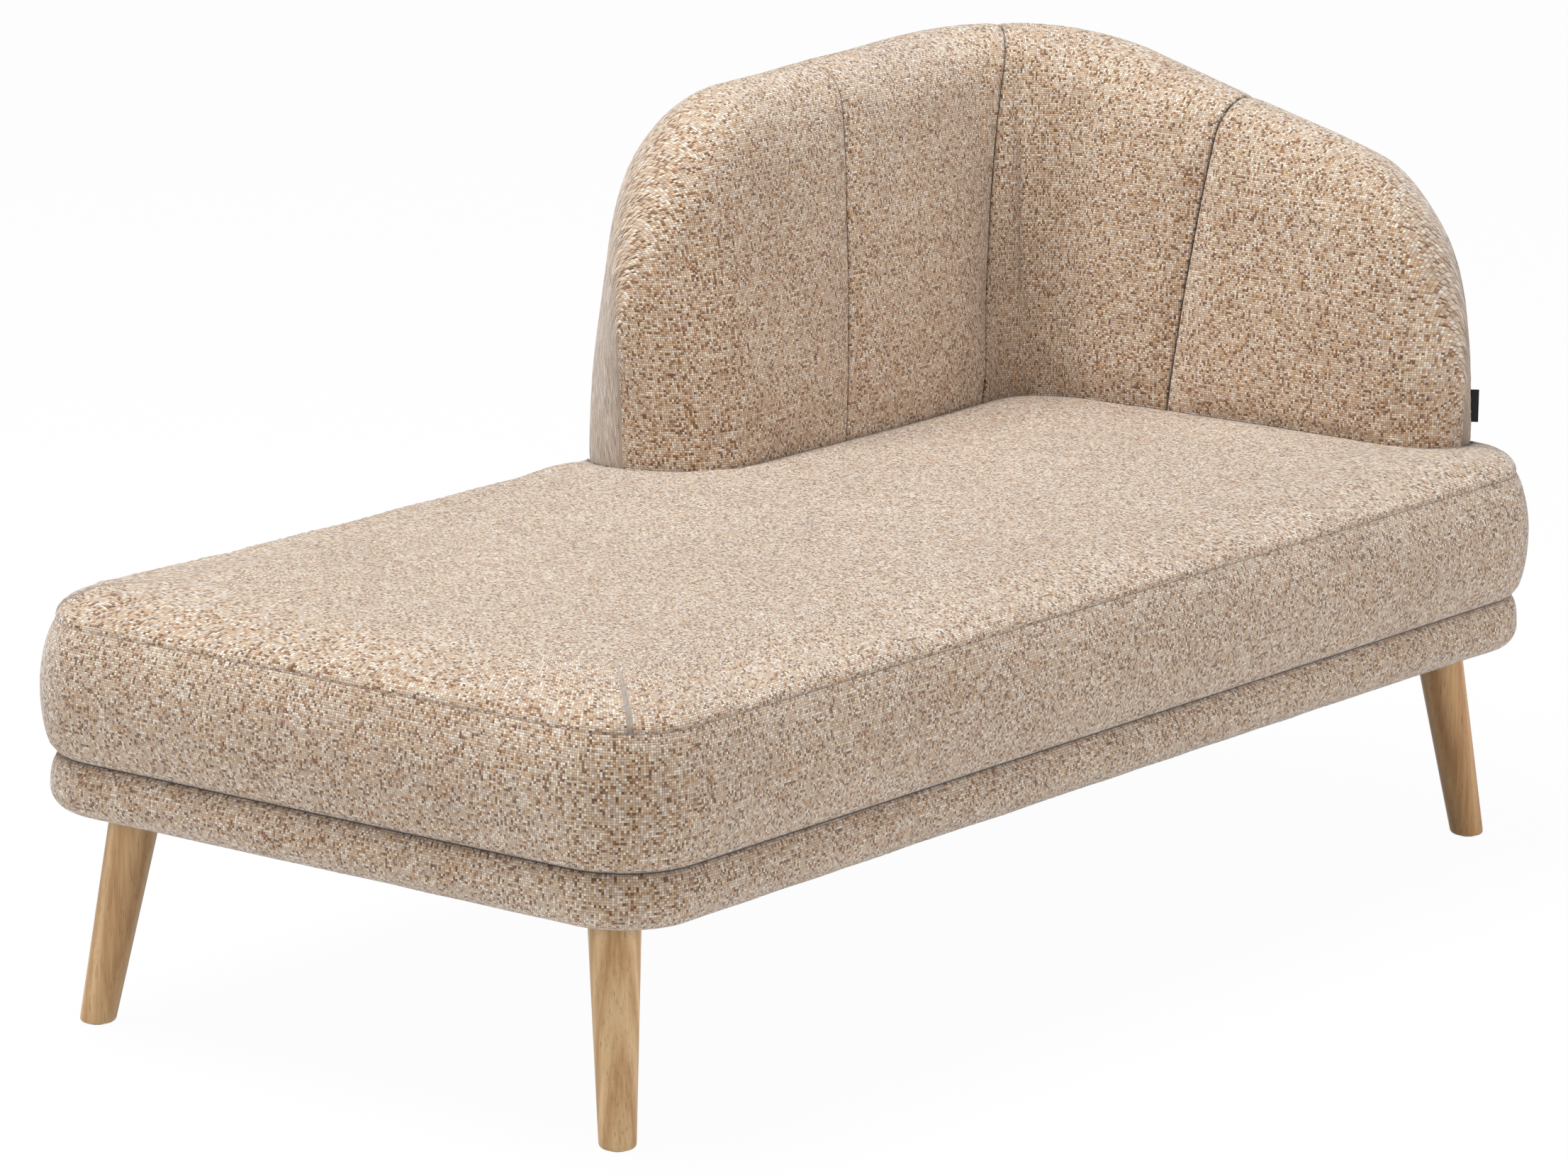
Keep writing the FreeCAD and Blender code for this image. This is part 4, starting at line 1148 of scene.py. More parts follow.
@dataclass
class Seat:
    """Seat cushion and base band: covers, padding and the thread of the top seam. Millimetres.

    Attributes:
        finishes: The object's materials.
        back: The backrest, which presses the cushion down where it stands.
        relief: How the covers are drawn in at their seams.
        top_draw: Share of the draw-in at the top seam, a faint line in the photograph.
        crease_draw: Share of the draw-in and of the painted shade at the crease above the base band.
        crease_z, crease_inset: Height of the crease and how far it lies inside the plan's outline.
        seam_z, seam_inset: The same for the top seam.
        crown_z: Height of the cushion's middle.
        crown_reach: How soon the top levels out.
        corner_blend: How softly the top's four slopes join.
        bulge: How far the side swells past the outline.
        swell: How full the side is below and above its middle; a smaller number is fuller.
        edge_r: Radius of the base band's lower edge.
        tuck: How far the band's cover runs in under the base.
        bottom_z: Height of the underside.
        crown: Shares of the crown's rise, each with its distance from the top seam.
        ring_reach: How far in from the seam the top is made of rings.
        imprint: Height of the cover under the backrest.
        press: How far inside the backrest's foot the cover is pressed down.
        lip: Gap between that foot and the cover beside it.
        back_reach: How far from the backrest its nearness still matters.
        seam_seed: Number that fixes the top seam's puckers.
        roll: Distance from the seam and width of the roll that carries the waves along the edge.
        foot_part: Where the small waves of the foot end begin and over what length they grow.
        edge_wave, plan_wave, foot_wave, band_wave: Soft unevenness of the covers.
        wall: Thickness of the covers.
        flat_top: Width and length of the top panel's cloth, in metres.
        flat_round: Length of the bands' cloth, in metres; not used.
    """

    finishes: Finishes
    back: BackForm
    relief: Relief = Relief(seam_depth=1.7, roll_depth=0.9, pucker=0.45)
    top_draw: float = 0.22
    crease_draw: float = 1.5
    crease_z: float = 278.0
    crease_inset: float = 7.0
    seam_z: float = 412.7
    seam_inset: float = 6.0
    crown_z: float = 446.0
    crown_reach: float = 45.0
    corner_blend: float = 30.0
    bulge: float = 9.5
    swell: tuple[float, float] = (0.6, 0.85)
    edge_r: float = 24.0
    tuck: float = 12.0
    bottom_z: float = 220.0
    crown: tuple = (
        (0.0, 0.0), (0.2, 0.4), (0.42, 4.5), (0.62, 14.5), (0.78, 40.0), (0.9, 95.0), (1.0, 210.0))
    ring_reach: float = 120.0
    imprint: float = 423.7
    press: float = 1.5
    lip: float = 2.5
    back_reach: float = 60.0
    seam_seed: int = 11
    roll: tuple[float, float] = (34.0, 30.0)
    foot_part: tuple[float, float] = (300.0, 400.0)
    edge_wave: Wave = Wave(1.1, 170.0, 21)
    plan_wave: Wave = Wave(0.7, 230.0, 22)
    foot_wave: Wave = Wave(0.8, 62.0, 23)
    band_wave: tuple[float, float] = (0.8, 120.0)
    wall: float = 2.0
    flat_top: tuple[float, float] = (0.84, 1.66)
    flat_round: float = 4.63

    def side_profile(self, step: float) -> np.ndarray:
        """Side of the cushion from the crease to the top seam."""
        corners = []
        for t in np.linspace(0, 1, 15):
            ends = -self.crease_inset + (self.crease_inset - self.seam_inset) * t
            fullness = (4 * t * (1 - t)) ** self.swell[0 if t < 0.5 else 1]
            height = self.crease_z + (self.seam_z - self.crease_z) * t
            corners.append((ends + (self.bulge - ends) * fullness, height))
        return self.crowded(smooth_profile(corners, step))

    def base_profile(self, step: float) -> np.ndarray:
        """Side of the base band, from under its rolled lower edge to the crease."""
        r = self.edge_r
        corners = [(-r - self.tuck, self.bottom_z), (-r, self.bottom_z)]
        for angle in np.linspace(0, math.pi / 2, 9)[1:]:
            corners.append((-r * (1 - math.sin(angle)), self.bottom_z + r * (1 - math.cos(angle))))
        height = self.crease_z - self.bottom_z - r
        for t in (0.5, 0.8, 1.0):
            corners.append((-self.crease_inset * t ** 3, self.bottom_z + r + height * t))
        return self.crowded(smooth_profile(corners, step))

    def crown_profile(self, step: float) -> np.ndarray:
        """Rolled edge and crown of the top, from its seam inwards to where the rings end."""
        rise = self.crown_z - self.seam_z
        corners = [(-self.seam_inset - run, self.seam_z + rise * share) for share, run in self.crown]
        line = smooth_profile(corners, 1.0, 4.0)
        line = line[line[:, 0] > -self.seam_inset - self.ring_reach]
        last = len(line) - 1
        places = [[0, 1, 2, 4, 6], np.arange(9, 40, 3), np.arange(40, last - 3, step), [last]]
        return resampled(line, np.arange(len(line)), np.concatenate(places))

    @staticmethod
    def crowded(profile: np.ndarray) -> np.ndarray:
        """A profile with more points close to both of its ends, where the seams draw it in."""
        path = running_length(profile)
        near = np.array([0.7, 1.5, 3.0])
        return resampled(profile, path, np.unique(np.concatenate([path, near, path[-1] - near])))

    def top_skin(self, outline: Outline) -> Skin:
        """The crowned top, pressed in where the backrest stands on it.

        Args:
            outline: Plan shape and fineness.

        Returns:
            The surface with values u, v, along, edge (distance from the seam) and away (from the backrest).
        """
        profile = self.crown_profile(outline.step)
        skin = band_skin(outline, profile, lid=True)
        inset, edge_z = profile[-1]
        ring, normal = outline.ring(inset)
        count = len(profile) * len(ring)
        inside = np.abs(skin.points[count:, :2])
        gap = np.stack([outline.half_x + inset - inside[:, 0], outline.half_y + inset - inside[:, 1]])
        blend = self.corner_blend
        gap = np.maximum(-blend * np.log(np.exp(-gap / blend).sum(axis=0)), 0.0)
        skin.points[count:, 2] = edge_z + (self.crown_z - edge_z) * (1 - faded(gap, self.crown_reach))
        path = running_length(profile)
        cloth = np.vstack([ring + normal * (path[-1] - length) for length in path])
        skin.values["u"][:count] = cloth[:, 0] * MM
        skin.values["v"][:count] = cloth[:, 1] * MM
        edge = skin.values["edge"] = np.concatenate([np.repeat(path, len(ring)), path[-1] + gap])
        near = (skin.points[:, 0] > self.back.foot_end_x - self.back_reach) & (edge > 0.0)
        away = np.full(len(skin.points), FAR_OFF)
        way = np.zeros((len(skin.points), 2))
        away[near], way[near] = self.back.clearance(skin.points[near, :2])
        under = away <= -self.press
        lip = ~under & (away < outline.step * 0.75)
        skin.points[lip, :2] += way[lip] * (self.lip - away[lip])[:, None]
        skin.points[under, 2] = np.minimum(skin.points[under, 2], self.imprint)
        skin.values["away"] = np.where(lip, self.lip, away)
        return skin

    def shape_top(self, skin: Skin) -> None:
        """Adds the seam's draw-in, its puckers and the soft waves of the cushion's top, and paints shade
        along the seam and a shadow beside the backrest's foot.
        """
        edge, along, away = (skin.values[name] for name in ("edge", "along", "away"))
        depth = self.relief.draw_in(edge, along, self.seam_seed, self.top_draw) * (away > 0)
        roll_at, roll_width = self.roll
        roll = np.exp(-((edge - roll_at) / roll_width) ** 2)
        foot_end = grown(-skin.points[:, 0] - self.foot_part[0], self.foot_part[1])
        wave = self.edge_wave.over(along[:, None]) * roll
        wave += self.plan_wave.over(skin.points[:, :2]) * grown(edge, 60.0)
        wave += self.foot_wave.over(along[:, None]) * roll * foot_end
        wave *= grown(away - self.lip, 40.0) * grown(edge, 14.0)
        skin.points += skin.level_way(faded(edge, 5.0)) * (wave - depth)[:, None]
        # Painted shadow on the cover beside the backrest's foot, and a faint painted shade line along the top
        # seam.
        shadow = 0.75 * faded(np.maximum(away - self.lip, 0.0), 1.6)
        skin.values[SEAM_SHADE_NAME] = 0.12 * faded(edge, 0.8) + shadow

    def shape_band(self, skin: Skin, seed: int, upper: float, lower: float) -> None:
        """Adds the draw-in at a band's seams and the faint fullness between them, and paints shade along both
        edges.

        Args:
            skin: The band.
            seed: Number that fixes its waves.
            upper: Share of the draw-in and of the painted shade at its upper edge.
            lower: Share of the draw-in and of the painted shade at its lower edge.
        """
        path, along = skin.values["v"] / MM, skin.values["along"]
        total = path.max()
        top = self.relief.draw_in(total - path, along, seed, upper)
        foot = self.relief.draw_in(path, along, seed + 1, lower)
        wave = Wave(*self.band_wave, seed + 2).over(np.column_stack([along, path * 0.4]))
        wave *= grown(np.minimum(path, total - path), 25.0)
        skin.points += skin.level_way(np.ones(len(path))) * (wave - top - foot)[:, None]
        # Painted shade along the band's upper and lower edges, in the top seam and the crease.
        skin.values[SEAM_SHADE_NAME] = min(upper, 1.0) * faded(total - path, 1.1) + lower * faded(path, 1.8)

    def add_cloth(self, cloth: Cloth) -> None:
        """Gives the simulation the coarse covers of the seat and the base."""
        coarse = Outline(step=18.0)
        top = self.top_skin(coarse)
        cloth.add(top, (top.values["edge"] < 2.0) | (top.values["away"] < 14.0))
        for profile in (self.side_profile(16.0), self.base_profile(14.0)):
            band = band_skin(coarse, profile)
            path, rim = band.values["v"], 3.5 * MM
            cloth.add(band, (path < rim) | (path > path.max() - rim))

    def build(self, cloth: Cloth) -> None:
        """Builds every soft piece of the seat and the base."""
        fine = Outline()
        weave = self.finishes.get(WEAVE)
        top = self.top_skin(fine)
        cloth.lend(top, grown(top.values["edge"], EASE) * grown(top.values["away"] - self.lip, EASE))
        self.shape_top(top)
        area = min(top.area(), self.flat_top[0] * self.flat_top[1])
        cover = hand_over(make_object("seat_top_panel", top, weave, self.wall), Slot.WEAVE, "seat_top_cover")
        side, base = self.side_profile(6.0), self.base_profile(5.0)
        draw = self.crease_draw
        bands = (("seat_side_panel", "seat_side_band", side, 31, self.top_draw, draw, "seat_pad"),
                 ("base_band_panel", "base_band_cover", base, 41, draw, 0.0, "base_band_strips"))
        for name, node, profile, seed, upper, lower, pad in bands:
            band = band_skin(fine, profile)
            path = band.values["v"] / MM
            cloth.lend(band, grown(np.minimum(path, path.max() - path), EASE))
            self.shape_band(band, seed, upper, lower)
            cover = make_object(name, band, weave, self.wall, fine.around() * MM)
            hand_over(cover, Slot.WEAVE, node)
        self.build_pads()
        self.build_seam_thread(fine)

    def build_pads(self) -> None:
        """Seat foam and the foam strips round the frame, a little inside their covers."""
        rough = Outline(step=16.0)
        inside, under_top = 5.0, self.imprint - 8.0
        side = self.side_profile(14.0)
        side = side[side[:, 1] > self.crease_z + 6.0] - np.array([inside, 0.0])
        crown = self.crown_profile(16.0)
        crown = crown[crown[:, 1] > self.seam_z + 3.0] - inside
        foot = np.array([[-self.crease_inset - 6.0, self.crease_z + 1.5]])
        body = band_skin(rough, np.vstack([foot, side, crown]), lid=True, base=True)
        away, _ = self.back.clearance(body.points[:, :2])
        body.points[(body.points[:, 2] > under_top) & (away < 6.0), 2] = under_top
        pad = make_object("seat_pad", body, self.finishes.get(FOAM))
        hand_over(pad, Slot.FOAM, "seat_foam")
        outer = self.base_profile(10.0)
        outer = outer[outer[:, 1] > self.bottom_z + 2.0] - np.array([4.5, 0.0])
        frame_side = -29.5
        inner = np.array([[frame_side, self.crease_z - 1.0], [frame_side, self.bottom_z + 2.5]])
        ring = band_skin(rough, np.vstack([outer, inner, outer[:1]]))
        strips = make_object("base_band_strips", ring, self.finishes.get(WADDING))
        weld(strips)
        hand_over(strips, Slot.FOAM, "base_band_padding")

    def build_seam_thread(self, outline: Outline) -> None:
        """Lockstitches in the top seam."""
        points, _ = outline.ring(-self.seam_inset - 3.4)
        line = np.column_stack([points, np.full(len(points), self.seam_z)])
        stitch = Repeat(4.2, (2.9, 0.55, 0.55))
        hand_over(repeat_along("seat_seam_thread", line, stitch, self.finishes.get(THREAD)), Slot.WEAVE)


@dataclass
class Backrest:
    """The backrest's covers, foam and sewn tab. Millimetres.

    Attributes:
        finishes: The object's materials.
        form: Its shape.
        relief: How the cover is drawn in at its seams.
        seam_strengths: Share of the draw-in and of the painted shade at each front seam.
        rear_strength: The same at the rear seam.
        seam_seed, rear_seed: Numbers that fix the seams' puckers.
        seam_shade_width: Width of the painted shade line in a seam.
        foot_tuck: How far the cover is drawn in at the foot.
        broad_wave, fine_wave: Soft unevenness of the cover.
        wall: Thickness of the cover.
        foam_gap: How far the foam lies inside it.
        tab_z: Heights of the tab's ends.
        tab_proud, tab_root: How far the tab stands out of the seam and reaches into it.
        tab_half, tab_edge: Half of its thickness, on its faces and at its fold.
        tab_rib: Relief of its ribs, as a share of the thickness.
        tab_flat: Width and length of its tape, in metres; not used.
    """

    finishes: Finishes
    form: BackForm
    relief: Relief = Relief()
    seam_strengths: tuple = (0.75, 1.1, 1.25)
    rear_strength: float = 0.8
    seam_seed: int = 50
    rear_seed: int = 57
    seam_shade_width: float = 1.1
    foot_tuck: float = 3.0
    broad_wave: Wave = Wave(0.9, 150.0, 61)
    fine_wave: Wave = Wave(0.5, 70.0, 62)
    wall: float = 1.8
    foam_gap: float = 7.0
    tab_z: tuple[float, float] = (458.0, 494.0)
    tab_proud: float = 7.0
    tab_root: float = 6.0
    tab_half: float = 0.42
    tab_edge: float = 0.12
    tab_rib: float = 0.12
    tab_flat: tuple[float, float] = (0.026, 0.036)

    def add_cloth(self, cloth: Cloth) -> None:
        """Gives the simulation the coarse cover, held at its seams and its foot."""
        skin = self.form.skin(16.0)
        held = skin.values["z"] < self.form.bottom + 20.0
        for name in SEAMS:
            held |= np.abs(skin.values[name]) < 9.0
        cloth.add(skin, held)

    def build(self, cloth: Cloth) -> None:
        """Builds the covers, the foam under them and the tab."""
        skin = self.form.skin(5.6)
        for name in SEAMS:
            for level in ROWS_BESIDE_SEAMS:
                skin.cut(name, level)
        gap = np.min([np.abs(skin.values[name]) for name in SEAMS], axis=0)
        cloth.lend(skin, grown(gap, EASE) * grown(skin.values["z"] - self.form.bottom, 30.0))
        self.sew(skin)
        self.build_covers(skin)
        self.build_foam()
        self.build_tab()

    def sew(self, skin: Skin) -> None:
        """Draws the cover in at its seams and its foot, adds its soft waves, and paints shade in the seams
        and along the foot.
        """
        normals = skin.normals()
        rear, up = skin.values["rear"], skin.values["v"] / MM
        foot = skin.values["z"] - self.form.bottom
        front = 1 / (1 + np.exp(rear / 0.8))
        seams = [(skin.values[name], up, self.seam_seed + n, front, strength)
                 for n, (name, strength) in enumerate(zip(SEAMS, self.seam_strengths))]
        seams.append((rear, skin.values["s"] + skin.values["z"], self.rear_seed, 1.0, self.rear_strength))
        # Painted shade: dark along the foot, where the backrest meets the seat, and down each seam.
        depth, dark = self.foot_tuck * faded(foot, 9.0), 0.5 * faded(foot, 2.0)
        for away, along, seed, share, strength in seams:
            depth += share * self.relief.draw_in(away, along, seed, strength)
            dark += share * strength * faded(np.abs(away), self.seam_shade_width)
        wave = self.broad_wave.over(skin.points) + self.fine_wave.over(skin.points) * faded(foot, 120.0)
        skin.points += normals * (wave * np.clip(foot / 60.0, 0.2, 1.0) - depth)[:, None]
        skin.values[SEAM_SHADE_NAME] = np.clip(dark, 0.0, 1.2)

    def build_covers(self, skin: Skin) -> None:
        """Splits the skin at its seams into the four front panels and the rear cover."""
        rear = skin.middle("rear") > 0
        past = [skin.middle(name) > 0 for name in SEAMS[:3]]
        fields = (~past[0], past[0] & ~past[1], past[1] & ~past[2], past[2])
        for n, chosen in enumerate(fields, start=1):
            self.cover(f"front_panel_{n}", skin.part(chosen & ~rear), f"backrest_panel_{n}")
        self.cover("rear_panel", skin.part(rear), "backrest_outer_cover")

    def cover(self, name: str, part: Skin, node: str) -> None:
        area = part.area()
        width, length = (float(np.ptp(part.values[way])) for way in ("u", "v"))
        if width * length < area:
            length = area / width * 1.02
        piece = make_object(name, part, self.finishes.get(WEAVE), self.wall)
        hand_over(piece, Slot.WEAVE, node)

    def build_foam(self) -> None:
        """One foam body just inside the cover."""
        skin = self.form.skin(15.0)
        skin.points -= skin.normals() * self.foam_gap
        skin.points[:, 2] = np.maximum(skin.points[:, 2], self.form.bottom + 2.0)
        pad = make_object("backrest_pad", skin, self.finishes.get(FOAM))
        close_holes(pad)
        hand_over(pad, Slot.FOAM, "backrest_foam")

    def build_tab(self) -> None:
        """Blank folded tape in the rear seam at the front end."""
        form = self.form
        half = form.head_thick / 2
        sine = form.rear_offset / half
        cosine = math.sqrt(1 - sine ** 2)
        low, high = self.tab_z
        back = form.rear_offset + form.lean[1] * ((low + high) / 2 - form.bottom)
        root = np.array([form.line_x + back, form.line_y - form.turn - form.head_run + half * (1 - cosine)])
        way, across = np.array([sine, -cosine]), np.array([cosine, sine])
        face = np.linspace(-self.tab_root, self.tab_proud - 0.5, 12)
        reach = np.append(face, self.tab_proud)
        width = np.append(np.full(len(face), self.tab_half), self.tab_edge)
        middle = np.vstack([root + way * d for d in np.concatenate([reach, reach[::-1]])])
        out = across * np.concatenate([width, -width[::-1]])[:, None]
        heights = np.linspace(low, high, 37)
        ribs = self.tab_rib * np.sin(np.arange(len(heights)) * math.pi / 2)
        points = np.vstack([np.column_stack([middle + out * (1 + rib), np.full(len(out), z)])
                            for z, rib in zip(heights, ribs)])
        skin = Skin(points, ring_faces(len(heights), len(out)), {
            "u": np.tile(running_length(middle + out), len(heights)) * MM,
            "v": np.repeat(heights, len(out)) * MM})
        tab = make_object("sewn_tab", skin, self.finishes.get(TAB_TAPE))
        close_holes(tab)
        weld(tab)
        hand_over(tab, Slot.TAB, "side_tag")


@dataclass(frozen=True)
class Repeat:
    """Spacing and size of a small bar that repeats along a line. Millimetres."""

    pitch: float
    bar: tuple[float, float, float]
    legs: bool = False


def repeat_tree(material: bpy.types.Material, legs: bool) -> bpy.types.NodeTree:
    """Geometry nodes that set a small bar along a line at an even pitch.

    Args:
        material: Finish of the bars.
        legs: Whether each bar has two short legs, as a staple has.
    """
    tree = bpy.data.node_groups.new("staples" if legs else "stitches", "GeometryNodeTree")
    for name, way, kind in (("Geometry", "INPUT", "Geometry"), ("Pitch", "INPUT", "Float"),
                            ("Bar", "INPUT", "Vector"), ("Geometry", "OUTPUT", "Geometry")):
        tree.interface.new_socket(name=name, in_out=way, socket_type=f"NodeSocket{kind}")
    n = Nodes(tree)
    given, out = n.add("NodeGroupInput"), n.add("NodeGroupOutput")
    curve = n.add("GeometryNodeMeshToCurve", {0: given.outputs["Geometry"]})
    even = n.add("GeometryNodeResampleCurve", {"Curve": curve.outputs[0], "Length": given.outputs["Pitch"]},
                 mode="LENGTH")
    bar = n.add("GeometryNodeMeshCube", {"Size": given.outputs["Bar"]}).outputs[0]
    if legs:
        join = n.add("GeometryNodeJoinGeometry")
        size = n.add("ShaderNodeSeparateXYZ", {0: given.outputs["Bar"]})
        for side in (-0.5, 0.5):
            leg = n.add("ShaderNodeCombineXYZ", {0: size.outputs[1], 1: size.outputs[1],
                                                 2: n.calc("MULTIPLY", size.outputs[0], 0.5)})
            cube = n.add("GeometryNodeMeshCube", {"Size": leg.outputs[0]})
            place = n.add("ShaderNodeCombineXYZ", {0: n.calc("MULTIPLY", size.outputs[0], side),
                                                   2: n.calc("MULTIPLY", size.outputs[0], 0.25)})
            shift = {"Geometry": cube.outputs[0], "Translation": place.outputs[0]}
            moved = n.add("GeometryNodeTransform", shift)
            tree.links.new(moved.outputs[0], join.inputs[0])
        tree.links.new(bar, join.inputs[0])
        bar = join.outputs[0]
    tangent = n.add("GeometryNodeInputTangent")
    turn = n.add("FunctionNodeAlignRotationToVector", {"Vector": tangent.outputs[0]}, axis="X")
    placed = n.add("GeometryNodeInstanceOnPoints", {"Points": even.outputs[0], "Instance": bar,
                                                    "Rotation": turn.outputs[0]})
    real = n.add("GeometryNodeRealizeInstances", {0: placed.outputs[0]})
    dressed = n.add("GeometryNodeSetMaterial", {"Geometry": real.outputs[0], "Material": material})
    tree.links.new(dressed.outputs[0], out.inputs[0])
    return tree


def repeat_along(name: str, line: np.ndarray, repeat: Repeat,
                 material: bpy.types.Material) -> bpy.types.Object:
    """Small bars along a closed line, as one plain mesh.

    Args:
        name: The piece's name.
        line: Points of the line, in millimetres.
        repeat: Spacing and size of the bars.
        material: Their finish.
    """
    mesh = bpy.data.meshes.new(name)
    count = len(line)
    mesh.from_pydata((line * MM).tolist(), [(n, (n + 1) % count) for n in range(count)], [])
    obj = new_object(name, mesh)
    tree = repeat_tree(material, repeat.legs)
    modifier = obj.modifiers.new("repeat", "NODES")
    modifier.node_group = tree
    sockets = {item.name: item.identifier for item in tree.interface.items_tree if item.in_out == "INPUT"}
    modifier[sockets["Pitch"]] = repeat.pitch * MM
    modifier[sockets["Bar"]] = tuple(size * MM for size in repeat.bar)
    bake_modifiers(obj)
    return obj


def weld(obj: bpy.types.Object, distance: float = 0.00002) -> None:
    """Joins points that lie together and turns the faces outwards."""
    work = bmesh.new()
    work.from_mesh(obj.data)
    bmesh.ops.remove_doubles(work, verts=work.verts, dist=distance)
    bmesh.ops.recalc_face_normals(work, faces=work.faces)
    work.to_mesh(obj.data)
    work.free()


def close_holes(obj: bpy.types.Object) -> None:
    """Fills every open edge loop with triangles and turns the faces outwards."""
    work = bmesh.new()
    work.from_mesh(obj.data)
    rims = [edge for edge in work.edges if edge.is_boundary]
    bmesh.ops.triangle_fill(work, edges=rims, use_beauty=True, use_dissolve=False)
    bmesh.ops.recalc_face_normals(work, faces=work.faces)
    for polygon in work.faces:
        polygon.smooth = True
    work.to_mesh(obj.data)
    work.free()


@dataclass
class Legs:
    """Four turned, splayed oak legs with a rounded foot. Millimetres.

    Attributes:
        finishes: The object's materials.
        foot_x, foot_y: Place of the foot's middle.
        splay: How far the top stands inside the foot, on both axes.
        height: Height of the top.
        top_r, foot_r: Radius of the top and of the foot.
        foot_round: Radius of the foot's edge.
        top_round: How far in and down the points of the top's edge are.
        start: Height of the wood's lower end, on its glide.
        shaft: Lowest ring of the shaft, distance of its highest one from the top, and how many there are.
        core: Share of the radius at which an end face has a ring.
        sides: Points of each ring.
        tints: Share of the oak's colours on each leg.
        grain_step: How far the grain is shifted from one leg to the next, in metres.
    """

    finishes: Finishes
    foot_x: float = 749.0
    foot_y: float = 332.0
    splay: float = 29.0
    height: float = 220.0
    top_r: float = 26.0
    foot_r: float = 18.0
    foot_round: float = 4.5
    top_round: tuple = ((0.3, 0.6), (1.2, 0.0))
    start: float = 1.5
    shaft: tuple[float, float, int] = (16.0, 2.0, 18)
    core: float = 0.4
    sides: int = 64
    tints: tuple = ((1.0, 1.0, 1.0), (0.97, 0.95, 0.93), (0.93, 0.88, 0.82), (0.98, 0.97, 0.96))
    grain_step: tuple[float, float, float] = (0.31, 0.17, 0.4)

    def profile(self) -> list[tuple[float, float]]:
        """Radius and height from the middle of the foot to the middle of the top."""
        slope = (self.top_r - self.foot_r) / self.height
        points = [(0.0, self.start), (self.foot_r * self.core, self.start)]
        for angle in np.linspace(0, math.pi / 2, 7):
            z = self.start + self.foot_round * (1 - math.cos(angle))
            points.append((self.foot_r + slope * z - self.foot_round * (1 - math.sin(angle)), z))
        first, last, count = self.shaft
        for z in np.linspace(first, self.height - last, count):
            points.append((self.foot_r + slope * z, z))
        points += [(self.top_r - inwards, self.height - down) for inwards, down in self.top_round]
        return points + [(self.top_r * self.core, self.height), (0.0, self.height)]

    def build(self) -> None:
        """Builds the four legs, each with its own run of grain."""
        names = {(-1, -1): "leg_foot_front", (-1, 1): "leg_foot_back",
                 (1, -1): "leg_head_front", (1, 1): "leg_head_back"}
        turns = np.arange(self.sides) * math.tau / self.sides
        for number, ((sx, sy), node) in enumerate(names.items()):
            rows = []
            for r, z in self.profile():
                in_by = self.splay * z / self.height
                centre = (sx * (self.foot_x - in_by), sy * (self.foot_y - in_by))
                rows.append(np.column_stack([centre[0] + r * np.cos(turns), centre[1] + r * np.sin(turns),
                                             np.full(self.sides, z)]))
            skin = Skin(np.vstack(rows), ring_faces(len(rows), self.sides))
            light, dark = (tuple(c * share for c, share in zip(colour, self.tints[number]))
                           for colour in (OAK_LIGHT, OAK_DARK))
            shift = tuple(step * number for step in self.grain_step)
            oak = Timber(f"oak_{node}", light, dark, Axis.Z, shift, bands=48.0, pores=0.45, roughness=0.46)
            leg = make_object(f"turned_{node}", skin, self.finishes.get(oak))
            weld(leg)
            hand_over(leg, Slot.LEG, node)


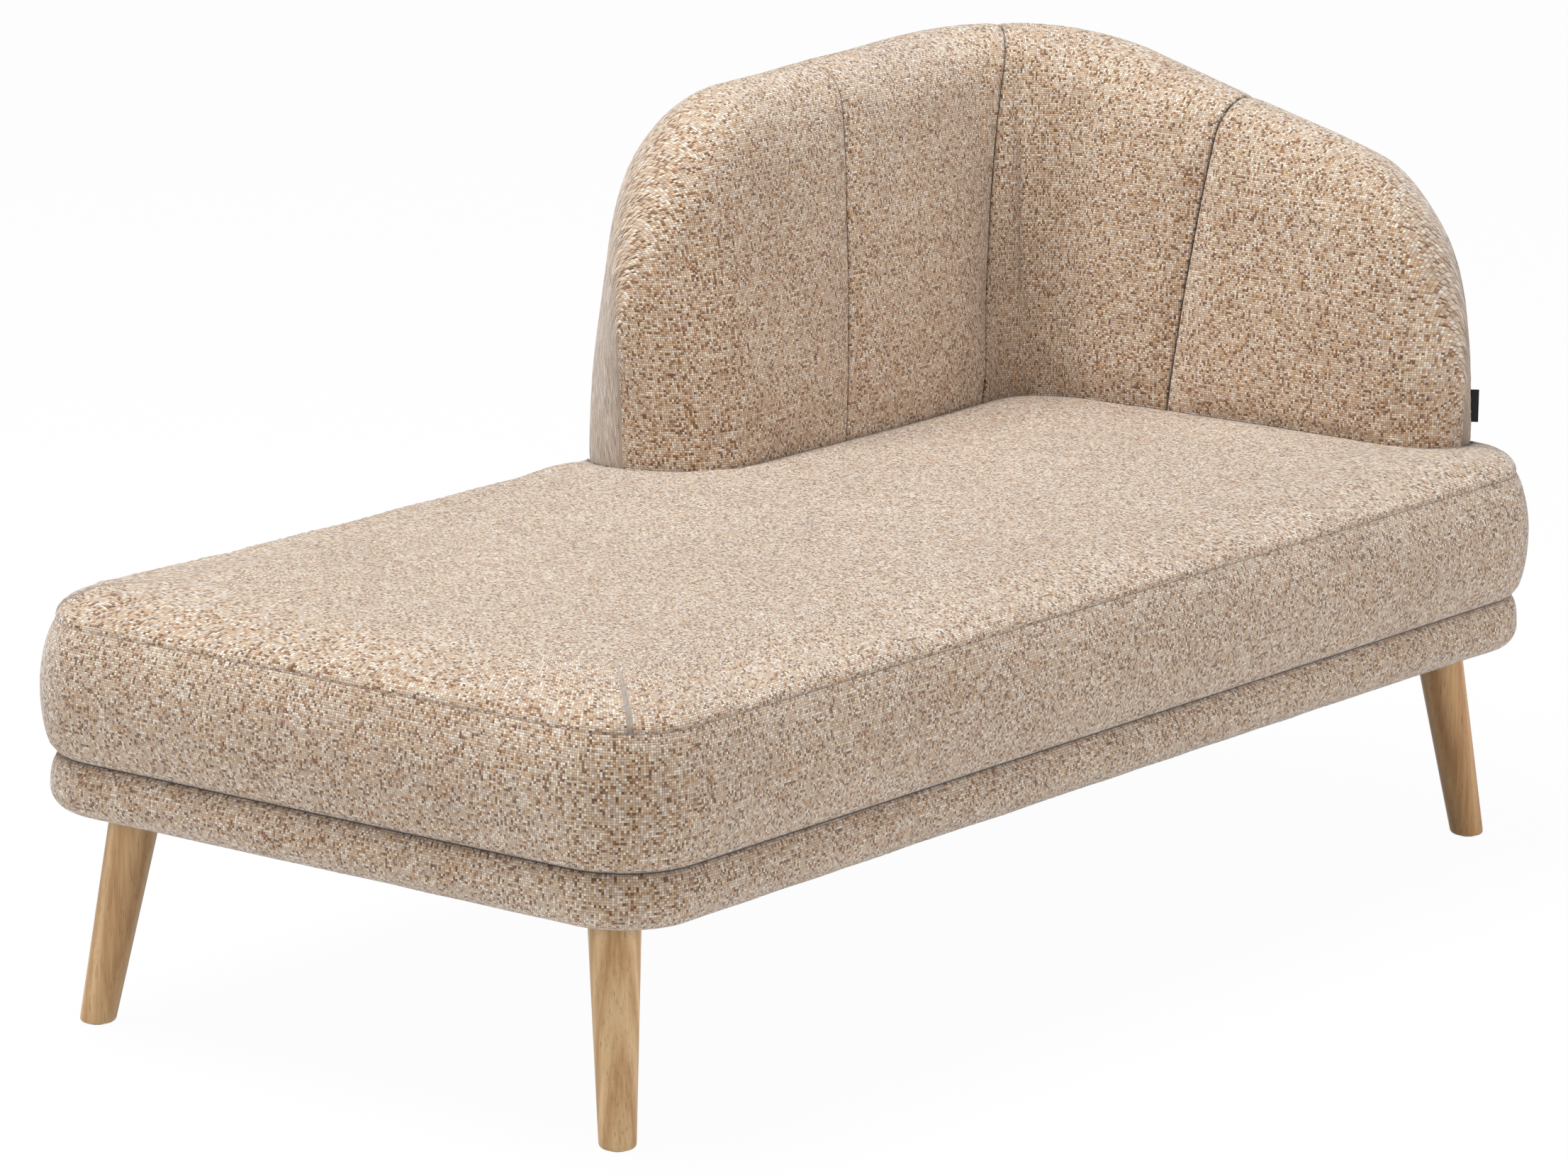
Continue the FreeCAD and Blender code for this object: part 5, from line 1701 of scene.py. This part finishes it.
@dataclass
class Frame:
    """The hidden frame: its timbers and metal keep their shape, its cloths are copied and softened.

    Attributes:
        finishes: The object's materials.
        along_x, along_y, upright: Timber nodes, by the way their grain runs.
        plywood, steel: Nodes of those materials.
        cloth_grid: Distance between the lines that divide a flat cloth, in metres.
        unevenness, wave_length: Height and length of a cloth's waves, in millimetres.
    """

    finishes: Finishes
    along_x: tuple = ("front_rail", "back_rail", "backrest_bearer")
    along_y: tuple = ("foot_end_rail", "head_end_rail", "cross_rails")
    upright: tuple = ("backrest_posts",)
    plywood: tuple = ("corner_blocks", "backrest_ribs", "backrest_sill", "backrest_inner_board",
                      "backrest_outer_board")
    steel: tuple = ("leg_bolts", "leg_inserts", "post_screws", "post_washers")
    cloth_grid: float = 0.06
    unevenness: float = 0.12
    wave_length: float = 160.0

    def dress(self, node: str, material: bpy.types.Material) -> None:
        """Gives a node its finish in every slot."""
        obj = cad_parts[node]
        obj.data.materials.clear()
        obj.data.materials.append(material)
        LOG.info("%s: %s", node, material.name)

    def build(self) -> None:
        """Dresses the rigid pieces and makes the cloths."""
        for names, axis in ((self.along_x, Axis.X), (self.along_y, Axis.Y), (self.upright, Axis.Z)):
            wood = Timber(f"frame_timber_{axis.name.lower()}", BEECH_LIGHT, BEECH_DARK, axis, bands=30.0,
                          pores=0.2, roughness=0.62)
            for node in names:
                self.dress(node, self.finishes.get(wood))
        ply = Timber("plywood", PLY_LIGHT, PLY_DARK, Axis.X, bands=260.0, pores=0.15, roughness=0.6)
        for node in self.plywood:
            self.dress(node, self.finishes.get(ply))
        for node in self.steel:
            self.dress(node, self.finishes.get(STEEL))
        self.dress("leg_glides", self.finishes.get(BLACK_PLASTIC))
        cloths = (
            ("felt_sheet", "seat_felt", Slot.FELT, FELT, (1.54, 0.73), "laid", ["webbing_across"], 71),
            ("under_cloth", "dust_cover", Slot.LINING, LINING, (1.56, 0.74), "stretched", ["front_rail"], 72),
            ("backrest_under_cloth", "backrest_lining", Slot.LINING, LINING, (0.8, 0.75), "stretched",
             ["backrest_sill"], 73),
            ("webbing_across", "cross_straps", Slot.WEBBING, WEBBING, (0.07, 9 * 0.716), "stretched",
             ["front_rail", "back_rail"], 74),
            ("webbing_along", "long_straps", Slot.WEBBING, WEBBING, (0.07, 3 * 1.52), "stretched",
             ["foot_end_rail", "head_end_rail"], 75))
        for cloth in cloths:
            self.cloth(*cloth)
        self.staples()

    def cloth(self, name: str, node: str, slot: Slot, finish: Any, flat: tuple[float, float], held: str,
              rests_on: list[str], seed: int) -> None:
        """A cloth made from its node's own outline, with a little unevenness.

        Args:
            name: The piece's name.
            node: The node that it stands for.
            slot: Its slot in the record; not used.
            finish: Its finish.
            flat: Width and length that it was cut to, in metres; not used.
            held: How it is held; not used.
            rests_on: What carries it; not used.
            seed: Number that fixes its waves.
        """
        work = bmesh.new()
        work.from_mesh(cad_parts[node].data)
        bmesh.ops.remove_doubles(work, verts=work.verts, dist=0.00001)
        bmesh.ops.dissolve_limit(work, angle_limit=0.01, verts=work.verts, edges=work.edges)
        low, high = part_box(node)
        pitch = self.cloth_grid
        for axis, normal in enumerate((Vector((1.0, 0.0, 0.0)), Vector((0.0, 1.0, 0.0)))):
            for place in np.arange(low[axis] + pitch / 2, high[axis], pitch):
                every = work.verts[:] + work.edges[:] + work.faces[:]
                bmesh.ops.bisect_plane(work, geom=every, plane_co=normal * float(place), plane_no=normal)
        bmesh.ops.triangulate(work, faces=work.faces)
        plan = np.array([(v.co.x / MM, v.co.y / MM) for v in work.verts])
        for vertex, lift in zip(work.verts, waves(plan, self.wave_length, seed)):
            vertex.co.z += self.unevenness * MM * float(lift)
        mesh = bpy.data.meshes.new(name)
        work.to_mesh(mesh)
        work.free()
        mesh.materials.append(self.finishes.get(finish))
        hand_over(new_object(name, mesh), slot, node)

    def staples(self) -> None:
        """Staples that hold the cloth under the base."""
        low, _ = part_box("dust_cover")
        ring, _ = Outline(step=20.0).ring(-34.0)
        line = np.column_stack([ring, np.full(len(ring), low.z / MM - 0.25)])
        staple = Repeat(42.0, (10.0, 1.0, 0.5), True)
        hand_over(repeat_along("under_cloth_staples", line, staple, self.finishes.get(STEEL)), Slot.STEEL)


# Studio


@dataclass(frozen=True)
class Camera:
    """Camera fitted to the photograph's view. Metres and degrees."""

    target: tuple[float, float, float] = (-0.062573, 0.0, 0.372502)
    distance: float = 7.664249
    azimuth: float = -52.7811
    elevation: float = 13.0605
    roll: float = 0.6832
    lens: float = 170.61

    def build(self) -> None:
        """Places the camera and makes it the scene's."""
        a, e, r = (math.radians(x) for x in (self.azimuth, self.elevation, self.roll))
        back = Vector((math.sin(a) * math.cos(e), -math.cos(a) * math.cos(e), math.sin(e)))
        level = Vector((math.cos(a), math.sin(a), 0.0))
        upright = back.cross(level)
        right = level * math.cos(r) + upright * math.sin(r)
        up = upright * math.cos(r) - level * math.sin(r)
        data = bpy.data.cameras.new("camera")
        data.lens = self.lens
        data.sensor_width = 36.0
        data.clip_start, data.clip_end = 0.1, 60.0
        camera = new_object("camera", data)
        turn = Matrix((right, up, back)).transposed().to_4x4()
        camera.matrix_world = Matrix.Translation(Vector(self.target) + back * self.distance) @ turn
        bpy.context.scene.camera = camera


@dataclass(frozen=True)
class Lamp:
    """One soft area lamp. Metres and watts."""

    name: str
    place: tuple[float, float, float]
    size: float
    power: float
    colour: tuple[float, float, float] = WHITE[:3]
    aim_z: float = 0.4

    def build(self) -> None:
        """Places the lamp, aimed at the middle of the object."""
        data = bpy.data.lights.new(self.name, "AREA")
        data.shape = "DISK"
        data.size = self.size
        data.energy = self.power
        data.color = self.colour
        lamp = new_object(self.name, data)
        lamp.location = self.place
        way = Vector((0.0, 0.0, self.aim_z)) - Vector(self.place)
        lamp.rotation_euler = way.to_track_quat("-Z", "Y").to_euler()


@dataclass(frozen=True)
class Studio:
    """Pale floor, white surroundings and soft lamps."""

    fill: float = 0.3
    floor_white: float = 0.97
    floor_half: float = 9.0
    floor_paint: tuple = (0.86, 0.86, 0.86, 1.0)
    lamps: tuple = (
        Lamp("top_lamp", (-0.9, 0.8, 4.6), 3.0, 245.0, (0.92, 0.97, 1.0)),
        Lamp("left_lamp", (-4.6, 1.4, 2.0), 2.0, 31.0),
        Lamp("front_lamp", (2.2, -5.2, 1.6), 2.0, 96.0),
    )

    def build(self) -> None:
        """Sets the view, the world, the floor and the lamps."""
        scene = bpy.context.scene
        scene.view_settings.view_transform = "Standard"
        self.world(scene)
        self.floor()
        for lamp in self.lamps:
            lamp.build()

    @staticmethod
    def seen(n: Nodes) -> Any:
        """One for the rays by which the background itself is seen."""
        path = n.add("ShaderNodeLightPath")
        rays = n.calc("MAXIMUM", path.outputs["Is Camera Ray"], path.outputs["Is Glossy Ray"])
        return n.calc("MAXIMUM", rays, path.outputs["Is Transmission Ray"])

    def world(self, scene: bpy.types.Scene) -> None:
        """White where it is seen, and a plain soft fill elsewhere."""
        world = bpy.data.worlds.new("surroundings")
        scene.world = world
        world.use_nodes = True
        n = Nodes(world.node_tree)
        background = world.node_tree.nodes["Background"]
        background.inputs["Color"].default_value = WHITE
        strength = n.calc("MULTIPLY_ADD", self.seen(n), 1.0 - self.fill, self.fill)
        n.feed(background.inputs["Strength"], strength)

    def floor(self) -> None:
        """Large pale floor that keeps the object's shadow faintly."""
        half = self.floor_half
        corners = [(-half, -half, 0.0), (half, -half, 0.0), (half, half, 0.0), (-half, half, 0.0)]
        mesh = bpy.data.meshes.new("floor")
        mesh.from_pydata(corners, [], [(0, 1, 2, 3)])
        floor = new_object("floor", mesh)
        material = bpy.data.materials.new("floor")
        material.use_nodes = True
        n = Nodes(material.node_tree)
        material.node_tree.nodes.remove(material.node_tree.nodes["Principled BSDF"])
        paint = n.add("ShaderNodeBsdfDiffuse", {"Color": self.floor_paint})
        glow = n.add("ShaderNodeEmission", {"Color": WHITE, "Strength": 1.0})
        share = n.calc("MULTIPLY", self.seen(n), self.floor_white)
        mix = n.add("ShaderNodeMixShader", {0: share, 1: paint.outputs[0], 2: glow.outputs[0]})
        output = material.node_tree.nodes["Material Output"]
        material.node_tree.links.new(mix.outputs[0], output.inputs["Surface"])
        mesh.materials.append(material)


def main() -> None:
    """Builds the whole scene, piece by piece."""
    logging.basicConfig(level=logging.INFO, format="%(message)s")
    finishes = Finishes()
    form = BackForm()
    seat = Seat(finishes, form)
    backrest = Backrest(finishes, form)
    cloth = Cloth()
    seat.add_cloth(cloth)
    backrest.add_cloth(cloth)
    cloth.run()
    seat.build(cloth)
    backrest.build(cloth)
    Legs(finishes).build()
    Frame(finishes).build()
    Camera().build()
    Studio().build()


if __name__ == "__main__":
    main()
